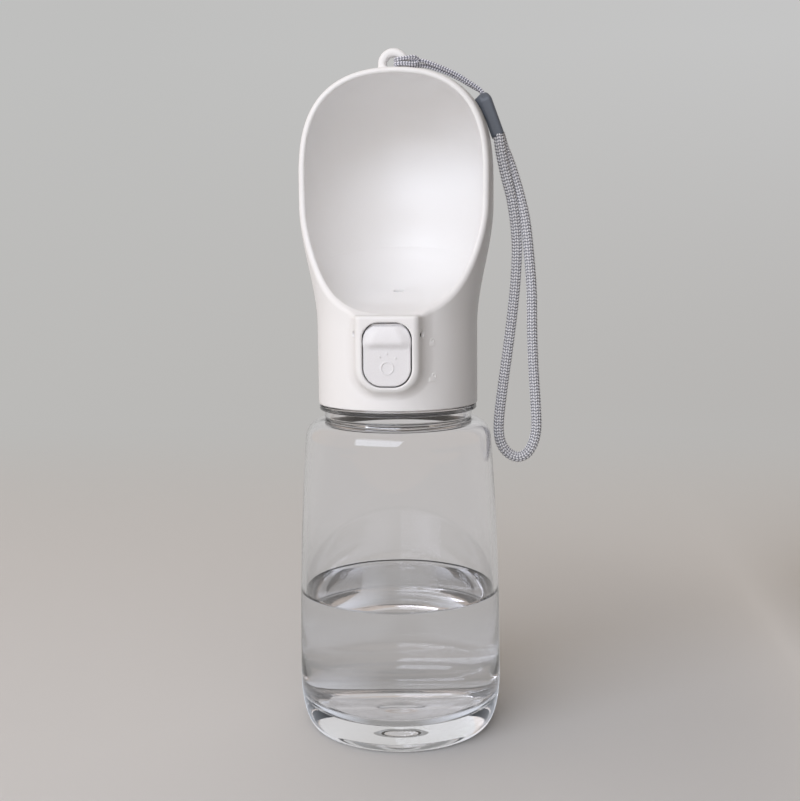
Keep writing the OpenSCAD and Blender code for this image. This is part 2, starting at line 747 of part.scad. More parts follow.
// Collar that the fork lifts and the spring presses on
module lift_collar() color([0.88, 0.88, 0.9]) translate([0, -valve_y, collar_z]) difference() {
  cylinder(r = collar_r, h = collar_t);
  translate([0, 0, -1]) cylinder(r = stem_neck_r, h = collar_t + 2);
}

// Open spring clip above the collar
module stem_clip() color([0.7, 0.71, 0.73]) translate([0, -valve_y, spring_low]) difference() {
  mouth_w = 1.2;
  cylinder(r = 2.3, h = clip_t);
  translate([0, 0, -1]) cylinder(r = stem_neck_r - clip_bite, h = 3);
  translate([-mouth_w / 2, 0, -1]) cube([mouth_w, 5, 3]);
}

// Tube swept along points, with the frame carried from ring to ring
function unit(v) = v / norm(v);
function along(p, i) = unit(p[min(i + 1, len(p) - 1)] - p[max(i - 1, 0)]);
function carry(p, start, i = 0, side = undef, out = []) =
  i == len(p) ? out :
  let (t = along(p, i), from = i == 0 ? start : side, s = unit(from - (from * t) * t))
  carry(p, start, i + 1, s, concat(out, [s]));

module tube(p, d, start, sides) {
  side = carry(p, start);
  n = len(p);
  points = [for (i = [0:n - 1]) let (t = along(p, i), u = side[i], v = cross(t, u))
    for (k = [0:sides - 1]) p[i] + d / 2 * (cos(360 * k / sides) * u + sin(360 * k / sides) * v)];
  walls = [for (i = [0:n - 2]) for (k = [0:sides - 1]) let (j = (k + 1) % sides)
    [i * sides + j, i * sides + k, (i + 1) * sides + k, (i + 1) * sides + j]];
  polyhedron(points, concat(
    [[for (k = [0:sides - 1]) k]],
    walls,
    [[for (k = [sides - 1:-1:0]) (n - 1) * sides + k]]), convexity = 10);
}

// Spring that closes the valve
module valve_spring() color([0.75, 0.76, 0.78]) {
  helix_r = 3.1;
  per_turn = 12;
  steps = coils * per_turn;
  rise = spring_seat_z - spring_low - wire_d - 2 * seat_slack;
  tube([for (i = [0:steps]) let (w = 360 * i / per_turn)
    [helix_r * cos(w), helix_r * sin(w) - valve_y, spring_low + wire_d / 2 + seat_slack + rise * i / steps]],
    wire_d, [1, 0, 0], 6);
}

module eye_cord() color([0.55, 0.56, 0.6]) tube(cord_route, cord_d, [0, 0, 1], 8);

module wrist_loop() color([0.6, 0.61, 0.63]) tube(loop_route, braid_d, [0, 1, 0], 8);

// Clamp that joins the thin cord and the wrist loop, leaning along the dome
module strap_clamp() color([0.33, 0.36, 0.4]) {
  lean = 19;
  low_end = [36, 3, 212.6];
  corner = 1.4;
  translate(low_end)
    rotate([0, -lean, 0])
      intersection() {
        translate([-clamp_t / 2, clamp_w / 2, 0])
          rotate([90, 0, 0]) linear_extrude(clamp_w) round_topped(clamp_t, clamp_l, corner);
        translate([-clamp_t / 2, -clamp_w / 2, 0])
          rotate([90, 0, 90]) linear_extrude(clamp_t) round_topped(clamp_w, clamp_l, corner);
      }
}

// Upright outline with rounded top corners
module round_topped(w, h, r) {
  square([w, h - r]);
  translate([r, 0]) square([w - 2 * r, h]);
  for (x = [r, w - r]) translate([x, h - r]) circle(r);
}

bottle();
neck_gasket();
head_shell();
inner_cap();
lid_gasket();
chamber_lid();
lid_screws();
stem_oring();
outlet_seal();
pivot_pin();
rocker();
detent_clip();
button();
valve_stem();
valve_plug();
lift_collar();
stem_clip();
valve_spring();
eye_cord();
strap_clamp();
wrist_loop();
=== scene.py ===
"""Dog travel water bottle: clear screw bottle, scoop-shaped drinking head, thumb button and wrist strap."""
import math

import bpy
import numpy as np
from bpy.props import FloatProperty, FloatVectorProperty, IntProperty, PointerProperty
from mathutils import Matrix, Vector


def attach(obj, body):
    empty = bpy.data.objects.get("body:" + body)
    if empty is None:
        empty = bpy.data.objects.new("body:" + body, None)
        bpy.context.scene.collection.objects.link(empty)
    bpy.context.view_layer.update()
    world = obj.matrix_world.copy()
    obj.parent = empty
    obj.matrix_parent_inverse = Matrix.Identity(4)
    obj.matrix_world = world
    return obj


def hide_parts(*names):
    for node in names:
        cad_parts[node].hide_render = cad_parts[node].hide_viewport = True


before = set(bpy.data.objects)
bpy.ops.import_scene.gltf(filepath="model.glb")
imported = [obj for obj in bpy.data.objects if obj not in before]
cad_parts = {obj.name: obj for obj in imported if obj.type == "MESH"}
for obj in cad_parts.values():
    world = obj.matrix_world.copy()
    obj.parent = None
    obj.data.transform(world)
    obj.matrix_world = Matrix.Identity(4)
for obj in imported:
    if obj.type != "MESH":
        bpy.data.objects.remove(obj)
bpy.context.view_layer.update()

bl_info = {
    "name": "Dog travel water bottle",
    "version": (1, 0, 0),
    "blender": (4, 5, 0),
    "location": "3D View > Sidebar > Water bottle",
    "description": "Builds the dressed pieces of a dog travel water bottle over its packed frame",
    "category": "Object",
}

MM = 0.001

# Heights and radii of the frame, in millimetres
SKIRT_Z, FLARE_Z, BULGE_Z, DOME_H = 118.7, 146.7, 193.7, 42.2
SKIRT_R, HEAD_R, WALL = 28.6, 34.4, 2.2
LIP_Y, LIP_Z, FLOOR_TILT = 27.5, 151.2, 13.3
BOTTLE = {"heel": 18, "shoulder": 106, "round": 7.5, "neck": 26.6, "flange": 28.3, "flange_low": 116.6,
          "flange_top": 118.4, "finish": 23.68, "mouth": 21.48, "top": 128.2, "floor": 9, "wall": 1.8,
          "foot": 31.5, "side": 36.8, "draw_in": 3.2}
THREAD_TURNS, THREAD_PITCH = 1.25, 3.2
OUTLET_Y, OUTLET_R = 5.5, 1.8
EYE_Y, EYE_Z = -3.5, 236.9
PIVOT = (-28.2, 144.8)
PIN_R, PIN_HOLE_R, PIN_HALF = 1.1, 1.14, 11.1

# Housing and button: depths from front to back, middle and half sizes of the window and the button, the
# lock's travel, and how far round the skirt the padlock marks are, in degrees
FACE_Y, PLATE_Y, TONGUE_Y, BACK_Y, HOUSING_BACK_Y = -31.7, -31.1, -30.18, -29.2, -20
BUTTON_Z, WINDOW_HALF, BUTTON_HALF = 138.0, (8.4, 10.9), (8.0, 10.5)
LOCK_TRAVEL = 1.2
MARK_TURN = 30.5

# Clamp of the wrist strap: the middle of its lower end, and its lean in degrees
CLAMP_AT, CLAMP_LEAN = (35.9, 3, 212.3), 20

# Camera: focal length and width of its view in pixels, sensor in millimetres, place in metres, way and roll
FOCAL_PX, WIDTH_PX, SENSOR = 1125.8, 800, 36
CAMERA_AT, CAMERA_WAY, CAMERA_ROLL = (0.0469, -0.4024, 0.1681), (-0.1133, 0.9863, -0.1201), 0.0093156

# Routes of the two cords, in millimetres
CORD_ROUTE = [(31.1, 2.3, 226.5), (29.6, 2.2, 228.5), (26.2, 1.6, 230.8), (22, 0.8, 233.4), (18, 0, 235.3),
              (15, -0.7, 236.5), (12, -1.3, 237.6), (9.4, -1.4, 238.3), (7, -0.9, 238.5), (4, -0.6, 238.4),
              (1.6, -0.85, 238.2), (0.7, -3.5, 238.2), (1.6, -6.15, 238.2), (4.5, -6.4, 238.5),
              (7.2, -5.75, 238.8), (8.4, -4.7, 238.2), (8.4, -4.7, 237.2), (7.2, -5.75, 236.5),
              (4.5, -6.4, 236.7), (1.6, -6.15, 236.7), (0.7, -3.5, 236.7), (1.6, -0.85, 236.7),
              (4, -0.6, 236.7), (7, -0.5, 236.8), (9.4, -0.2, 236.8), (12, 0.1, 236.4), (15, 0.7, 235.5),
              (18, 1.4, 234.4), (22, 2.3, 232.6), (26.2, 3.1, 230.2), (29.6, 3.7, 228.3), (31.1, 3.7, 226.5)]
LOOP_ROUTE = [(36, 1, 213.6), (36.9, 1.5, 207), (38.6, 2, 199), (41, 3, 189), (42.5, 4, 176), (42.2, 4, 163),
              (41, 4, 150), (39.4, 4, 137), (37.8, 4, 125), (36.5, 4, 114), (36.3, 4, 107), (37.5, 4, 102.4),
              (40, 4, 99.4), (43.4, 4, 98.2), (46.6, 4, 99.8), (48.8, 4, 103.8), (49.8, 4, 109.6),
              (49.4, 4, 119), (48.6, 4, 132), (48.1, 4, 145), (47.9, 4, 158), (46.9, 4, 171), (45.5, 4, 183),
              (43.2, 4.5, 193), (40.1, 5, 203), (37.7, 5, 209), (36.4, 5, 213.6)]


# ---------------------------------------------------------------- small helpers

def linear(code):
    """sRGB hex colour as linear red, green, blue and alpha."""
    parts = [int(code[i:i + 2], 16) / 255 for i in (1, 3, 5)]
    return tuple(c / 12.92 if c <= 0.04045 else ((c + 0.055) / 1.055) ** 2.4 for c in parts) + (1.0,)


def add_node(tree, kind, inputs=None, **settings):
    """Add a node with its settings, and give each input a value or a link."""
    node = tree.nodes.new(kind)
    for name, value in settings.items():
        setattr(node, name, value)
    for key, value in (inputs or {}).items():
        if isinstance(value, bpy.types.NodeSocket):
            tree.links.new(value, node.inputs[key])
        else:
            node.inputs[key].default_value = value
    return node


def new_material(name):
    """Empty node material and its tree and surface node."""
    material = bpy.data.materials.new(name)
    material.use_nodes = True
    tree = material.node_tree
    tree.nodes.clear()
    shader = add_node(tree, "ShaderNodeBsdfPrincipled")
    add_node(tree, "ShaderNodeOutputMaterial", {"Surface": shader.outputs["BSDF"]})
    return material, tree, shader


def per_metre(width):
    """Scale of a noise whose grains are a width in millimetres."""
    return 1 / (width * MM)


def new_tree(name, inputs):
    """Empty node tree with a geometry and named inputs, and the sockets that they come out of."""
    tree = bpy.data.node_groups.new(name, "GeometryNodeTree")
    face = tree.interface
    face.new_socket("Geometry", in_out="INPUT", socket_type="NodeSocketGeometry")
    for socket, kind in inputs.items():
        face.new_socket(socket, in_out="INPUT", socket_type="NodeSocket" + kind)
    face.new_socket("Geometry", in_out="OUTPUT", socket_type="NodeSocketGeometry")
    return tree, add_node(tree, "NodeGroupInput").outputs


def finish_tree(tree, tube, material):
    """End a tree: shade its tube smooth, make it real and give it its material."""
    smooth = add_node(tree, "GeometryNodeSetShadeSmooth", {"Geometry": tube})
    real = add_node(tree, "GeometryNodeRealizeInstances", {"Geometry": smooth.outputs[0]})
    done = add_node(tree, "GeometryNodeSetMaterial", {"Geometry": real.outputs[0], "Material": material})
    add_node(tree, "NodeGroupOutput", {0: done.outputs[0]})


def smooth_route(points, steps=10):
    """Points on a smooth line through a route, in metres."""
    p = np.array(points, float) * MM
    p = np.vstack([p[:1], p, p[-1:]])
    t = np.linspace(0, 1, steps, endpoint=False)[:, None]
    runs = [0.5 * (2 * b + (c - a) * t + (2 * a - 5 * b + 4 * c - d) * t ** 2
                   + (3 * b - a - 3 * c + d) * t ** 3)
            for a, b, c, d in zip(p, p[1:], p[2:], p[3:])]
    return np.vstack(runs + [p[-2:-1]])


def filleted(corners, steps=6):
    """Profile through corners (radius, height, fillet), each rounded by its fillet."""
    out = []
    for i, (r, z, fillet) in enumerate(corners):
        here = np.array([r, z], float)
        if fillet == 0 or i in (0, len(corners) - 1):
            out.append(here)
            continue
        before = np.array(corners[i - 1][:2], float) - here
        after = np.array(corners[i + 1][:2], float) - here
        before /= np.linalg.norm(before)
        after /= np.linalg.norm(after)
        half = math.acos(max(-1, min(1, float(before @ after)))) / 2
        reach = fillet / math.tan(half)
        middle = before + after
        centre = here + middle / np.linalg.norm(middle) * fillet / math.sin(half)
        start, end = here + before * reach - centre, here + after * reach - centre
        for s in np.linspace(0, 1, steps + 1):
            arm = start * (1 - s) + end * s
            out.append(centre + arm / np.linalg.norm(arm) * fillet)
    return np.array(out)


def make_mesh(name, points, faces, material, normals=None):
    """Object from points in metres and faces, smooth shaded."""
    mesh = bpy.data.meshes.new(name)
    mesh.from_pydata(np.asarray(points).tolist(), [], [list(map(int, f)) for f in faces])
    mesh.update()
    mesh.polygons.foreach_set("use_smooth", [True] * len(mesh.polygons))
    if normals is not None:
        mesh.normals_split_custom_set_from_vertices(np.asarray(normals).tolist())
    mesh.materials.append(material)
    piece = bpy.data.objects.new(name, mesh)
    bpy.context.scene.collection.objects.link(piece)
    return piece


def lathe(name, profile, material, segments=192):
    """Closed turned piece from a profile in millimetres that starts and ends on the axis."""
    turn = np.linspace(0, 2 * np.pi, segments, endpoint=False)
    inner = profile[1:-1]
    points = [(0, 0, profile[0][1])]
    for r, z in inner:
        points += list(zip(r * np.cos(turn), r * np.sin(turn), np.full(segments, z)))
    points.append((0, 0, profile[-1][1]))
    last = len(points) - 1
    faces = []
    for k in range(segments):
        n = (k + 1) % segments
        faces.append((0, 1 + n, 1 + k))
        base = 1 + (len(inner) - 1) * segments
        faces.append((last, base + k, base + n))
    for row in range(len(inner) - 1):
        a, b = 1 + row * segments, 1 + (row + 1) * segments
        for k in range(segments):
            n = (k + 1) % segments
            faces.append((a + k, a + n, b + n, b + k))
    return make_mesh(name, np.array(points) * MM, faces, material)


def applied(piece, name):
    """Plain mesh object from a piece with live modifiers, which is removed."""
    bpy.context.view_layer.update()
    mesh = bpy.data.meshes.new_from_object(piece.evaluated_get(bpy.context.evaluated_depsgraph_get()))
    bpy.data.objects.remove(piece)
    mesh.name = name
    result = bpy.data.objects.new(name, mesh)
    bpy.context.scene.collection.objects.link(result)
    return result


def settle(piece, body, slot, *nodes):
    """Ride a finished piece on its body, and hide the CAD nodes that it stands for. Its finish is not used.
    """
    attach(piece, body)
    if nodes:
        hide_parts(*nodes)


# ---------------------------------------------------------------- forms as distance fields, in millimetres

def joined(a, b, fillet):
    """Union of two forms with a fillet between them."""
    u, v = np.maximum(fillet - a, 0), np.maximum(fillet - b, 0)
    return np.maximum(fillet, np.minimum(a, b)) - np.sqrt(u * u + v * v)


def trimmed(a, b, edge):
    """What two forms share, with a rounded edge."""
    u, v = np.maximum(edge + a, 0), np.maximum(edge + b, 0)
    return np.minimum(-edge, np.maximum(a, b)) + np.sqrt(u * u + v * v)


def softest(a, b, k):
    """Smaller of two distances, blended over a width."""
    h = np.clip(0.5 + 0.5 * (b - a) / k, 0, 1)
    return b * (1 - h) + a * h - k * h * (1 - h)


def round_box(u, v, half_u, half_v, corner):
    """Rectangle with round corners, in two directions."""
    a, b = np.abs(u) - (half_u - corner), np.abs(v) - (half_v - corner)
    return np.minimum(np.maximum(a, b), 0) + np.hypot(np.maximum(a, 0), np.maximum(b, 0)) - corner


def slope_of(form, p):
    """Distance and its gradient at points."""
    e = 0.02
    d = form(p[:, 0], p[:, 1], p[:, 2])
    g = np.stack([form(p[:, 0] + s[0], p[:, 1] + s[1], p[:, 2] + s[2])
                  - form(p[:, 0] - s[0], p[:, 1] - s[1], p[:, 2] - s[2]) for s in np.eye(3) * e], 1) / (2 * e)
    return d, g


def rest_on(form, p, rounds=3, reach=0.2):
    """Move points onto the form's surface."""
    for _ in range(rounds):
        d, g = slope_of(form, p)
        move = -d[:, None] * g / np.maximum((g * g).sum(1), 0.05)[:, None]
        size = np.linalg.norm(move, axis=1)
        p = p + move * np.minimum(1, reach / np.maximum(size, 1e-9))[:, None]
    return p


def skin(form, low, high, step):
    """Closed quad mesh on the surface of a form."""
    low = np.array(low, float)
    count = np.ceil((np.array(high) - low) / step).astype(int) + 1
    axes = [low[i] + step * np.arange(count[i]) for i in range(3)]
    grids = np.meshgrid(*axes, indexing="ij", sparse=True)
    value = np.broadcast_to(form(*grids), count).astype(np.float32)
    inside = value < 0
    corners = [(i, j, k) for i in (0, 1) for j in (0, 1) for k in (0, 1)]
    filled = sum(inside[i:count[0] - 1 + i, j:count[1] - 1 + j, k:count[2] - 1 + k].astype(np.int8)
                 for i, j, k in corners)
    cell = np.argwhere((filled > 0) & (filled < 8))
    v = np.stack([value[cell[:, 0] + i, cell[:, 1] + j, cell[:, 2] + k] for i, j, k in corners], 1)
    at = np.array(corners, float)
    total, hits = np.zeros((len(cell), 3)), np.zeros(len(cell))
    for a in range(8):
        for b in range(a + 1, 8):
            if np.abs(at[a] - at[b]).sum() == 1:
                cross = (v[:, a] < 0) != (v[:, b] < 0)
                t = np.where(cross, v[:, a] / np.where(cross, v[:, a] - v[:, b], 1), 0)
                total += np.where(cross[:, None], at[a] + t[:, None] * (at[b] - at[a]), 0)
                hits += cross
    points = low + step * (cell + total / hits[:, None])
    index = np.full(count - 1, -1, np.int64)
    index[tuple(cell.T)] = np.arange(len(cell))
    faces = []
    for axis in range(3):
        u, w = np.eye(3, dtype=int)[(axis + 1) % 3], np.eye(3, dtype=int)[(axis + 2) % 3]
        first = np.take(inside, range(count[axis] - 1), axis)
        second = np.take(inside, range(1, count[axis]), axis)
        edge = np.argwhere(first != second)
        edge = edge[np.all((edge >= u + w) & (edge < count - 1), axis=1)]
        quad = np.stack([index[tuple((edge - s).T)] for s in (u + w, w, 0 * u, u)], 1)
        back = ~first[tuple(edge.T)]
        quad[back] = quad[back][:, ::-1]
        faces.append(quad)
    return rest_on(form, points, reach=step / 2), np.vstack(faces)


def formed(name, form, low, high, step, material, most=None):
    """Piece on the surface of a form, thinned to a number of faces where the form is plain."""
    points, faces = skin(form, low, high, step)
    if most and len(faces) * 2 > most:
        draft = make_mesh(name, points * MM, faces, material)
        thin = draft.modifiers.new("thin", "DECIMATE")
        thin.ratio = most / (len(faces) * 2)
        draft = applied(draft, name)
        count = len(draft.data.vertices)
        points = np.empty(count * 3)
        draft.data.vertices.foreach_get("co", points)
        points = rest_on(form, points.reshape(-1, 3) / MM, rounds=2, reach=step / 3)
        faces = [tuple(f.vertices) for f in draft.data.polygons]
        bpy.data.objects.remove(draft)
    normals = slope_of(form, points)[1]
    normals /= np.maximum(np.linalg.norm(normals, axis=1), 1e-9)[:, None]
    return make_mesh(name, points * MM, faces, material, normals)


def head_outside(x, y, z):
    """Outside of the head: straight skirt, flare and dome."""
    power, blend = 2.4, 12
    flare_h = BULGE_Z - 5 - FLARE_Z
    r = np.hypot(x, y)
    t = np.clip((z - FLARE_Z) / flare_h, 0, 1)
    wide = SKIRT_R + (HEAD_R - SKIRT_R) * t * t * (3 - 2 * t)
    lean = (HEAD_R - SKIRT_R) * 6 * t * (1 - t) / flare_h
    side = (r - wide) / np.sqrt(1 + lean * lean)
    up = np.maximum(z - BULGE_Z, 0) / DOME_H
    q = r / HEAD_R
    rise = np.hypot(power * q ** (power - 1) / HEAD_R, 3 * up * up / DOME_H)
    dome = (q ** power + up ** 3 - 1) / np.maximum(rise, 0.01)
    part = np.minimum(up * DOME_H / blend, 1)
    part = part * part * (3 - 2 * part)
    return side * (1 - part) + dome * part


def scoop_tub(x, y, z):
    """Inside of the scoop: a tilted floor with round sides that open towards the rim."""
    flat, corner, drop, shift = 8, 22, 0.3, 16
    opening_cos, opening_sin, opening_h = 0.894, 0.447, 14
    c, s = math.cos(math.radians(FLOOR_TILT)), math.sin(math.radians(FLOOR_TILT))
    dy, dz = y + LIP_Y, z - LIP_Z + drop
    along, h = dy * c + dz * s, dz * c - dy * s
    tubs = []
    for centre in (LIP_Y, LIP_Y - shift):
        rho = np.hypot(x, along - centre)
        out = np.maximum(rho - flat, 0)
        bowl = np.where(h < corner, np.hypot(out, corner - h) - corner, out - corner)
        cone = (rho - flat - corner) * opening_cos - (h - corner) * opening_sin
        tubs.append(softest(bowl, np.maximum(cone, opening_h - h), 5))
    return softest(tubs[0], tubs[1], 4)


def rim_line():
    """Side view of the rim, from the front lip to the top: heights, depths and slopes."""
    lip, top = np.array([-LIP_Y, LIP_Z]), np.array([-9.7, BULGE_Z + 2])
    lip_pull, top_pull = lip + [8, 4.8], top + [-0.8, -27.7]
    above = [top[0] + 1.2, BULGE_Z + DOME_H + 10]
    t = np.linspace(0, 1, 80)[:, None]
    curve = ((1 - t) ** 3 * lip + 3 * (1 - t) ** 2 * t * lip_pull
             + 3 * (1 - t) * t * t * top_pull + t ** 3 * top)
    line = np.vstack([curve, np.linspace(top, above, 20)[1:]])
    return line[:, 1], line[:, 0], np.gradient(line[:, 0], line[:, 1])


RIM = rim_line()


def before_rim(y, z):
    """Space in front of the rim."""
    edge, lean = np.interp(z, RIM[0], RIM[1]), np.interp(z, RIM[0], RIM[2])
    return np.maximum((y - edge) / np.sqrt(1 + lean * lean), LIP_Z - z)


def housing(x, y, z):
    """Button housing, whose sides lean out towards the shell."""
    draft, draft_cos = 0.343, 0.946
    low_z, top_z, half_width, low_corner = 125.6, 170, 10.35, 7.9
    grow = (y - FACE_Y) * draft
    low = low_z - grow
    corner = low_corner + np.maximum(grow, -4)
    half = (top_z - low) / 2
    sides = round_box(x, z - low - half, half_width + grow, half, corner) * draft_cos
    return np.maximum(trimmed(sides, FACE_Y - y, 1.5), y - HOUSING_BACK_Y)


def button_opening(x, z):
    """Outline of the window that the button sits in."""
    corner = np.where(z > BUTTON_Z, 5.6, 6.6)
    return round_box(x, z - BUTTON_Z, *WINDOW_HALF, corner)


def lanyard_eye(x, y, z):
    """Ring on top of the dome, cut off a little under the dome's surface."""
    ring_r, half_thick, half_deep, edge, sunk = 3.95, 1.45, 2.0, 1.2, 0.6
    ring = round_box(np.hypot(x, z - EYE_Z) - ring_r, y - EYE_Y, half_thick, half_deep, edge)
    return np.maximum(ring, -head_outside(x, y, z) - sunk)


def head_form(x, y, z):
    """Whole head: shell, scoop, housing, eye, and the hollow and posts under the floor."""
    bore_r, bore_top, upper_r = 26.7, 131.7, 25.8
    post_y, post_r, post_low = -4, 4.4, 153.8
    socket_r, socket_half, socket_low = 4.9, 0.7, 151.8
    groove_y, groove_half, groove_lift = -29.65, 1.25, LOCK_TRAVEL + 0.1
    outlet_z, outlet_half = 157, 7
    r = np.hypot(x, y)
    tub = scoop_tub(x, y, z)
    outside = head_outside(x, y, z)
    scoop = -softest(-(outside + WALL), -tub, 3)
    solid = trimmed(joined(outside, housing(x, y, z), 2.2), SKIRT_Z - z, 0.5)
    shell = trimmed(np.maximum(solid, -scoop), -before_rim(y, z), 1.05)
    hollow = np.minimum(np.maximum(r - bore_r, z - bore_top), np.maximum(r - upper_r, WALL - tub))
    shell = np.maximum(shell, -hollow)
    post = np.maximum(np.hypot(x, y - post_y) - post_r, post_low - z)
    socket = np.maximum(np.abs(np.hypot(x, y - OUTLET_Y) - socket_r) - socket_half, socket_low - z)
    shell = np.minimum(shell, np.maximum(np.minimum(post, socket), 0.8 - tub))
    shell = joined(shell, lanyard_eye(x, y, z), 0.8)
    shell = trimmed(shell, -np.maximum(button_opening(x, z), y - HOUSING_BACK_Y), 0.45)
    groove = np.maximum(button_opening(x, z - groove_lift), np.abs(y - groove_y) - groove_half)
    shell = np.maximum(shell, -groove)
    pin = np.hypot(y - PIVOT[0], z - PIVOT[1])
    shell = np.maximum(shell, PIN_HOLE_R - pin)
    outlet = np.maximum(np.hypot(x, y - OUTLET_Y) - OUTLET_R, np.abs(z - outlet_z) - outlet_half)
    return trimmed(shell, -outlet, 0.3)


def button_form(x, y, z):
    """Thumb button: plate, ledge with a ramp above it, tongue and the hook behind."""
    top_z, tongue_z, slope_z, ledge_low, ledge_top = 148.6, 147.7, 146.2, 141.6, 148.2
    ledge_y, stem_z, stem_y, hook_y = -32.5, 137.45, -27.8, -26.5
    outline = round_box(x + 0.1, z - BUTTON_Z, *BUTTON_HALF, np.where(z > BUTTON_Z, 5.3, 6.2))
    slope = (PLATE_Y + (z - slope_z) * 0.533 - y) / 1.133
    front = np.minimum(trimmed(slope, PLATE_Y - y, 0.5), TONGUE_Y - y)
    plate = trimmed(outline, np.maximum(front, y - BACK_Y), 0.5)
    side = (np.abs(x) - np.interp(z, [141.2, 143.2, 147.4], [6.7, 6.3, 4.6])) * 0.8
    ramp = ((-y - 31.0) * 4.3 - (147.2 - z) * 1.4) / 4.52
    ledge = trimmed(trimmed(ramp, side, 2.2), trimmed(ledge_low - z, ledge_y - y, 1.2), 1.0)
    ledge = np.maximum(ledge, np.maximum(y - BACK_Y, z - ledge_top))
    body = np.maximum(joined(plate, ledge, 2.2), z - top_z)
    body = np.maximum(body, TONGUE_Y - y - 50 * np.maximum(tongue_z - z, 0))
    stem = np.maximum(round_box(x, z - stem_z, 1.5, 2, 0.2), np.abs(y - stem_y) - 1.5)
    hook = np.maximum(round_box(x, z - stem_z, 2.7, 2, 0.3), np.abs(y - hook_y) - 0.4)
    body = np.minimum(body, np.minimum(stem, hook))
    barrel = np.hypot(y - PIVOT[0], np.maximum(np.abs(z - PIVOT[1] + 0.6) - 0.6, 0)) - 2.15
    return np.maximum(body, -barrel)


def clamp_form(x, y, z):
    """Clamp that leans along the dome, with a domed end where the thin cord goes in."""
    half_wide, half_deep, corner = 2.3, 3.8, 1.3
    top, taper_low, taper_over = 15.8, 12.6, 3.2
    heel_across, heel_low, heel_top = -1.9, 8, 14.9
    dome_gap = 0.12
    lean = math.radians(CLAMP_LEAN)
    dx, v, dz = x - CLAMP_AT[0], y - CLAMP_AT[1], z - CLAMP_AT[2]
    across = dx * math.cos(lean) + dz * math.sin(lean)
    along = -dx * math.sin(lean) + dz * math.cos(lean)
    slim = 1 - 0.5 * (np.maximum(along - taper_low, 0) / taper_over) ** 2
    plan = round_box(across - 0.15, v, half_wide * slim, half_deep * slim, corner * slim)
    body = trimmed(plan, np.maximum(along - top, -along), 0.6)
    heel = trimmed(round_box(across - heel_across, v, 1.5, 2.6, 1.2),
                   np.maximum(along - heel_top, heel_low - along) * 0.8, 0.5)
    return trimmed(joined(body, heel, 1.5), dome_gap - head_outside(x, y, z), 0.3)


def padlock(u, v, lift):
    """Front view of a padlock mark, its shackle raised and swung when open."""
    bow_r, bow_half, bow_v = 0.62, 0.16, 0.55
    body = round_box(u, v + 0.45, 1.0, 0.75, 0.2)
    ring = np.abs(np.hypot(u - lift * 0.9, np.maximum(v - bow_v - lift * 0.35, 0)) - bow_r) - bow_half
    shackle = np.maximum(ring, 0.1 - v)
    if lift > 0:
        shackle = np.maximum(shackle, np.where((u < 0.6) & (v < 0.7), 0.3, -1))
    return np.minimum(body, shackle)


# ---------------------------------------------------------------- finishes

def white_abs():
    """Moulded white ABS: a soft satin sheen over a very fine grain, slightly uneven in tone."""
    colours = bpy.context.scene.bottle_finish
    material, tree, shader = new_material("moulded_white_abs")
    place = add_node(tree, "ShaderNodeTexCoord")
    cloud = add_node(tree, "ShaderNodeTexNoise", {"Vector": place.outputs["Object"],
                                                  "Scale": per_metre(22.222), "Detail": 2.0})
    tone = add_node(tree, "ShaderNodeMixRGB", {"Fac": cloud.outputs["Fac"],
                                               "Color1": tuple(colours.shell) + (1,),
                                               "Color2": tuple(c * 0.985 for c in colours.shell) + (1,)})
    grain = add_node(tree, "ShaderNodeTexNoise", {"Vector": place.outputs["Object"],
                                                  "Scale": per_metre(0.45455)})
    bump = add_node(tree, "ShaderNodeBump", {"Height": grain.outputs["Fac"], "Strength": 0.05,
                                             "Distance": 0.05 * MM})
    rough = add_node(tree, "ShaderNodeMapRange", {"Value": cloud.outputs["Fac"], "To Min": 0.34,
                                                  "To Max": 0.42})
    tree.links.new(tone.outputs[0], shader.inputs["Base Color"])
    tree.links.new(rough.outputs[0], shader.inputs["Roughness"])
    tree.links.new(bump.outputs[0], shader.inputs["Normal"])
    shader.inputs["IOR"].default_value = 1.5
    return material


def clear_copolyester():
    """Blow-moulded clear copolyester: almost colourless, very smooth, faintly wavy walls."""
    material, tree, shader = new_material("moulded_clear_copolyester")
    place = add_node(tree, "ShaderNodeTexCoord")
    stretch = add_node(tree, "ShaderNodeMapping", {"Vector": place.outputs["Object"],
                                                   "Scale": (1.0, 1.0, 0.35)})
    wave = add_node(tree, "ShaderNodeTexNoise", {"Vector": stretch.outputs[0], "Scale": per_metre(16.6667),
                                                 "Detail": 1.0})
    bump = add_node(tree, "ShaderNodeBump", {"Height": wave.outputs["Fac"], "Strength": 0.06, "Distance": MM})
    tree.links.new(bump.outputs[0], shader.inputs["Normal"])
    shader.inputs["Base Color"].default_value = linear("#FBFAFB")
    shader.inputs["Transmission Weight"].default_value = 1.0
    shader.inputs["Roughness"].default_value = 0.0
    shader.inputs["IOR"].default_value = 1.54
    return material


def still_water():
    """Drinking water: clear, with the slow ripple of a carried bottle."""
    material, tree, shader = new_material("still_water")
    place = add_node(tree, "ShaderNodeTexCoord")
    wave = add_node(tree, "ShaderNodeTexNoise", {"Vector": place.outputs["Object"],
                                                 "Scale": per_metre(14.2857), "Detail": 1.0})
    bump = add_node(tree, "ShaderNodeBump", {"Height": wave.outputs["Fac"], "Strength": 0.08, "Distance": MM})
    tree.links.new(bump.outputs[0], shader.inputs["Normal"])
    shader.inputs["Base Color"].default_value = linear("#FCFCFC")
    shader.inputs["Transmission Weight"].default_value = 1.0
    shader.inputs["Roughness"].default_value = 0.0
    shader.inputs["IOR"].default_value = 1.333
    return material


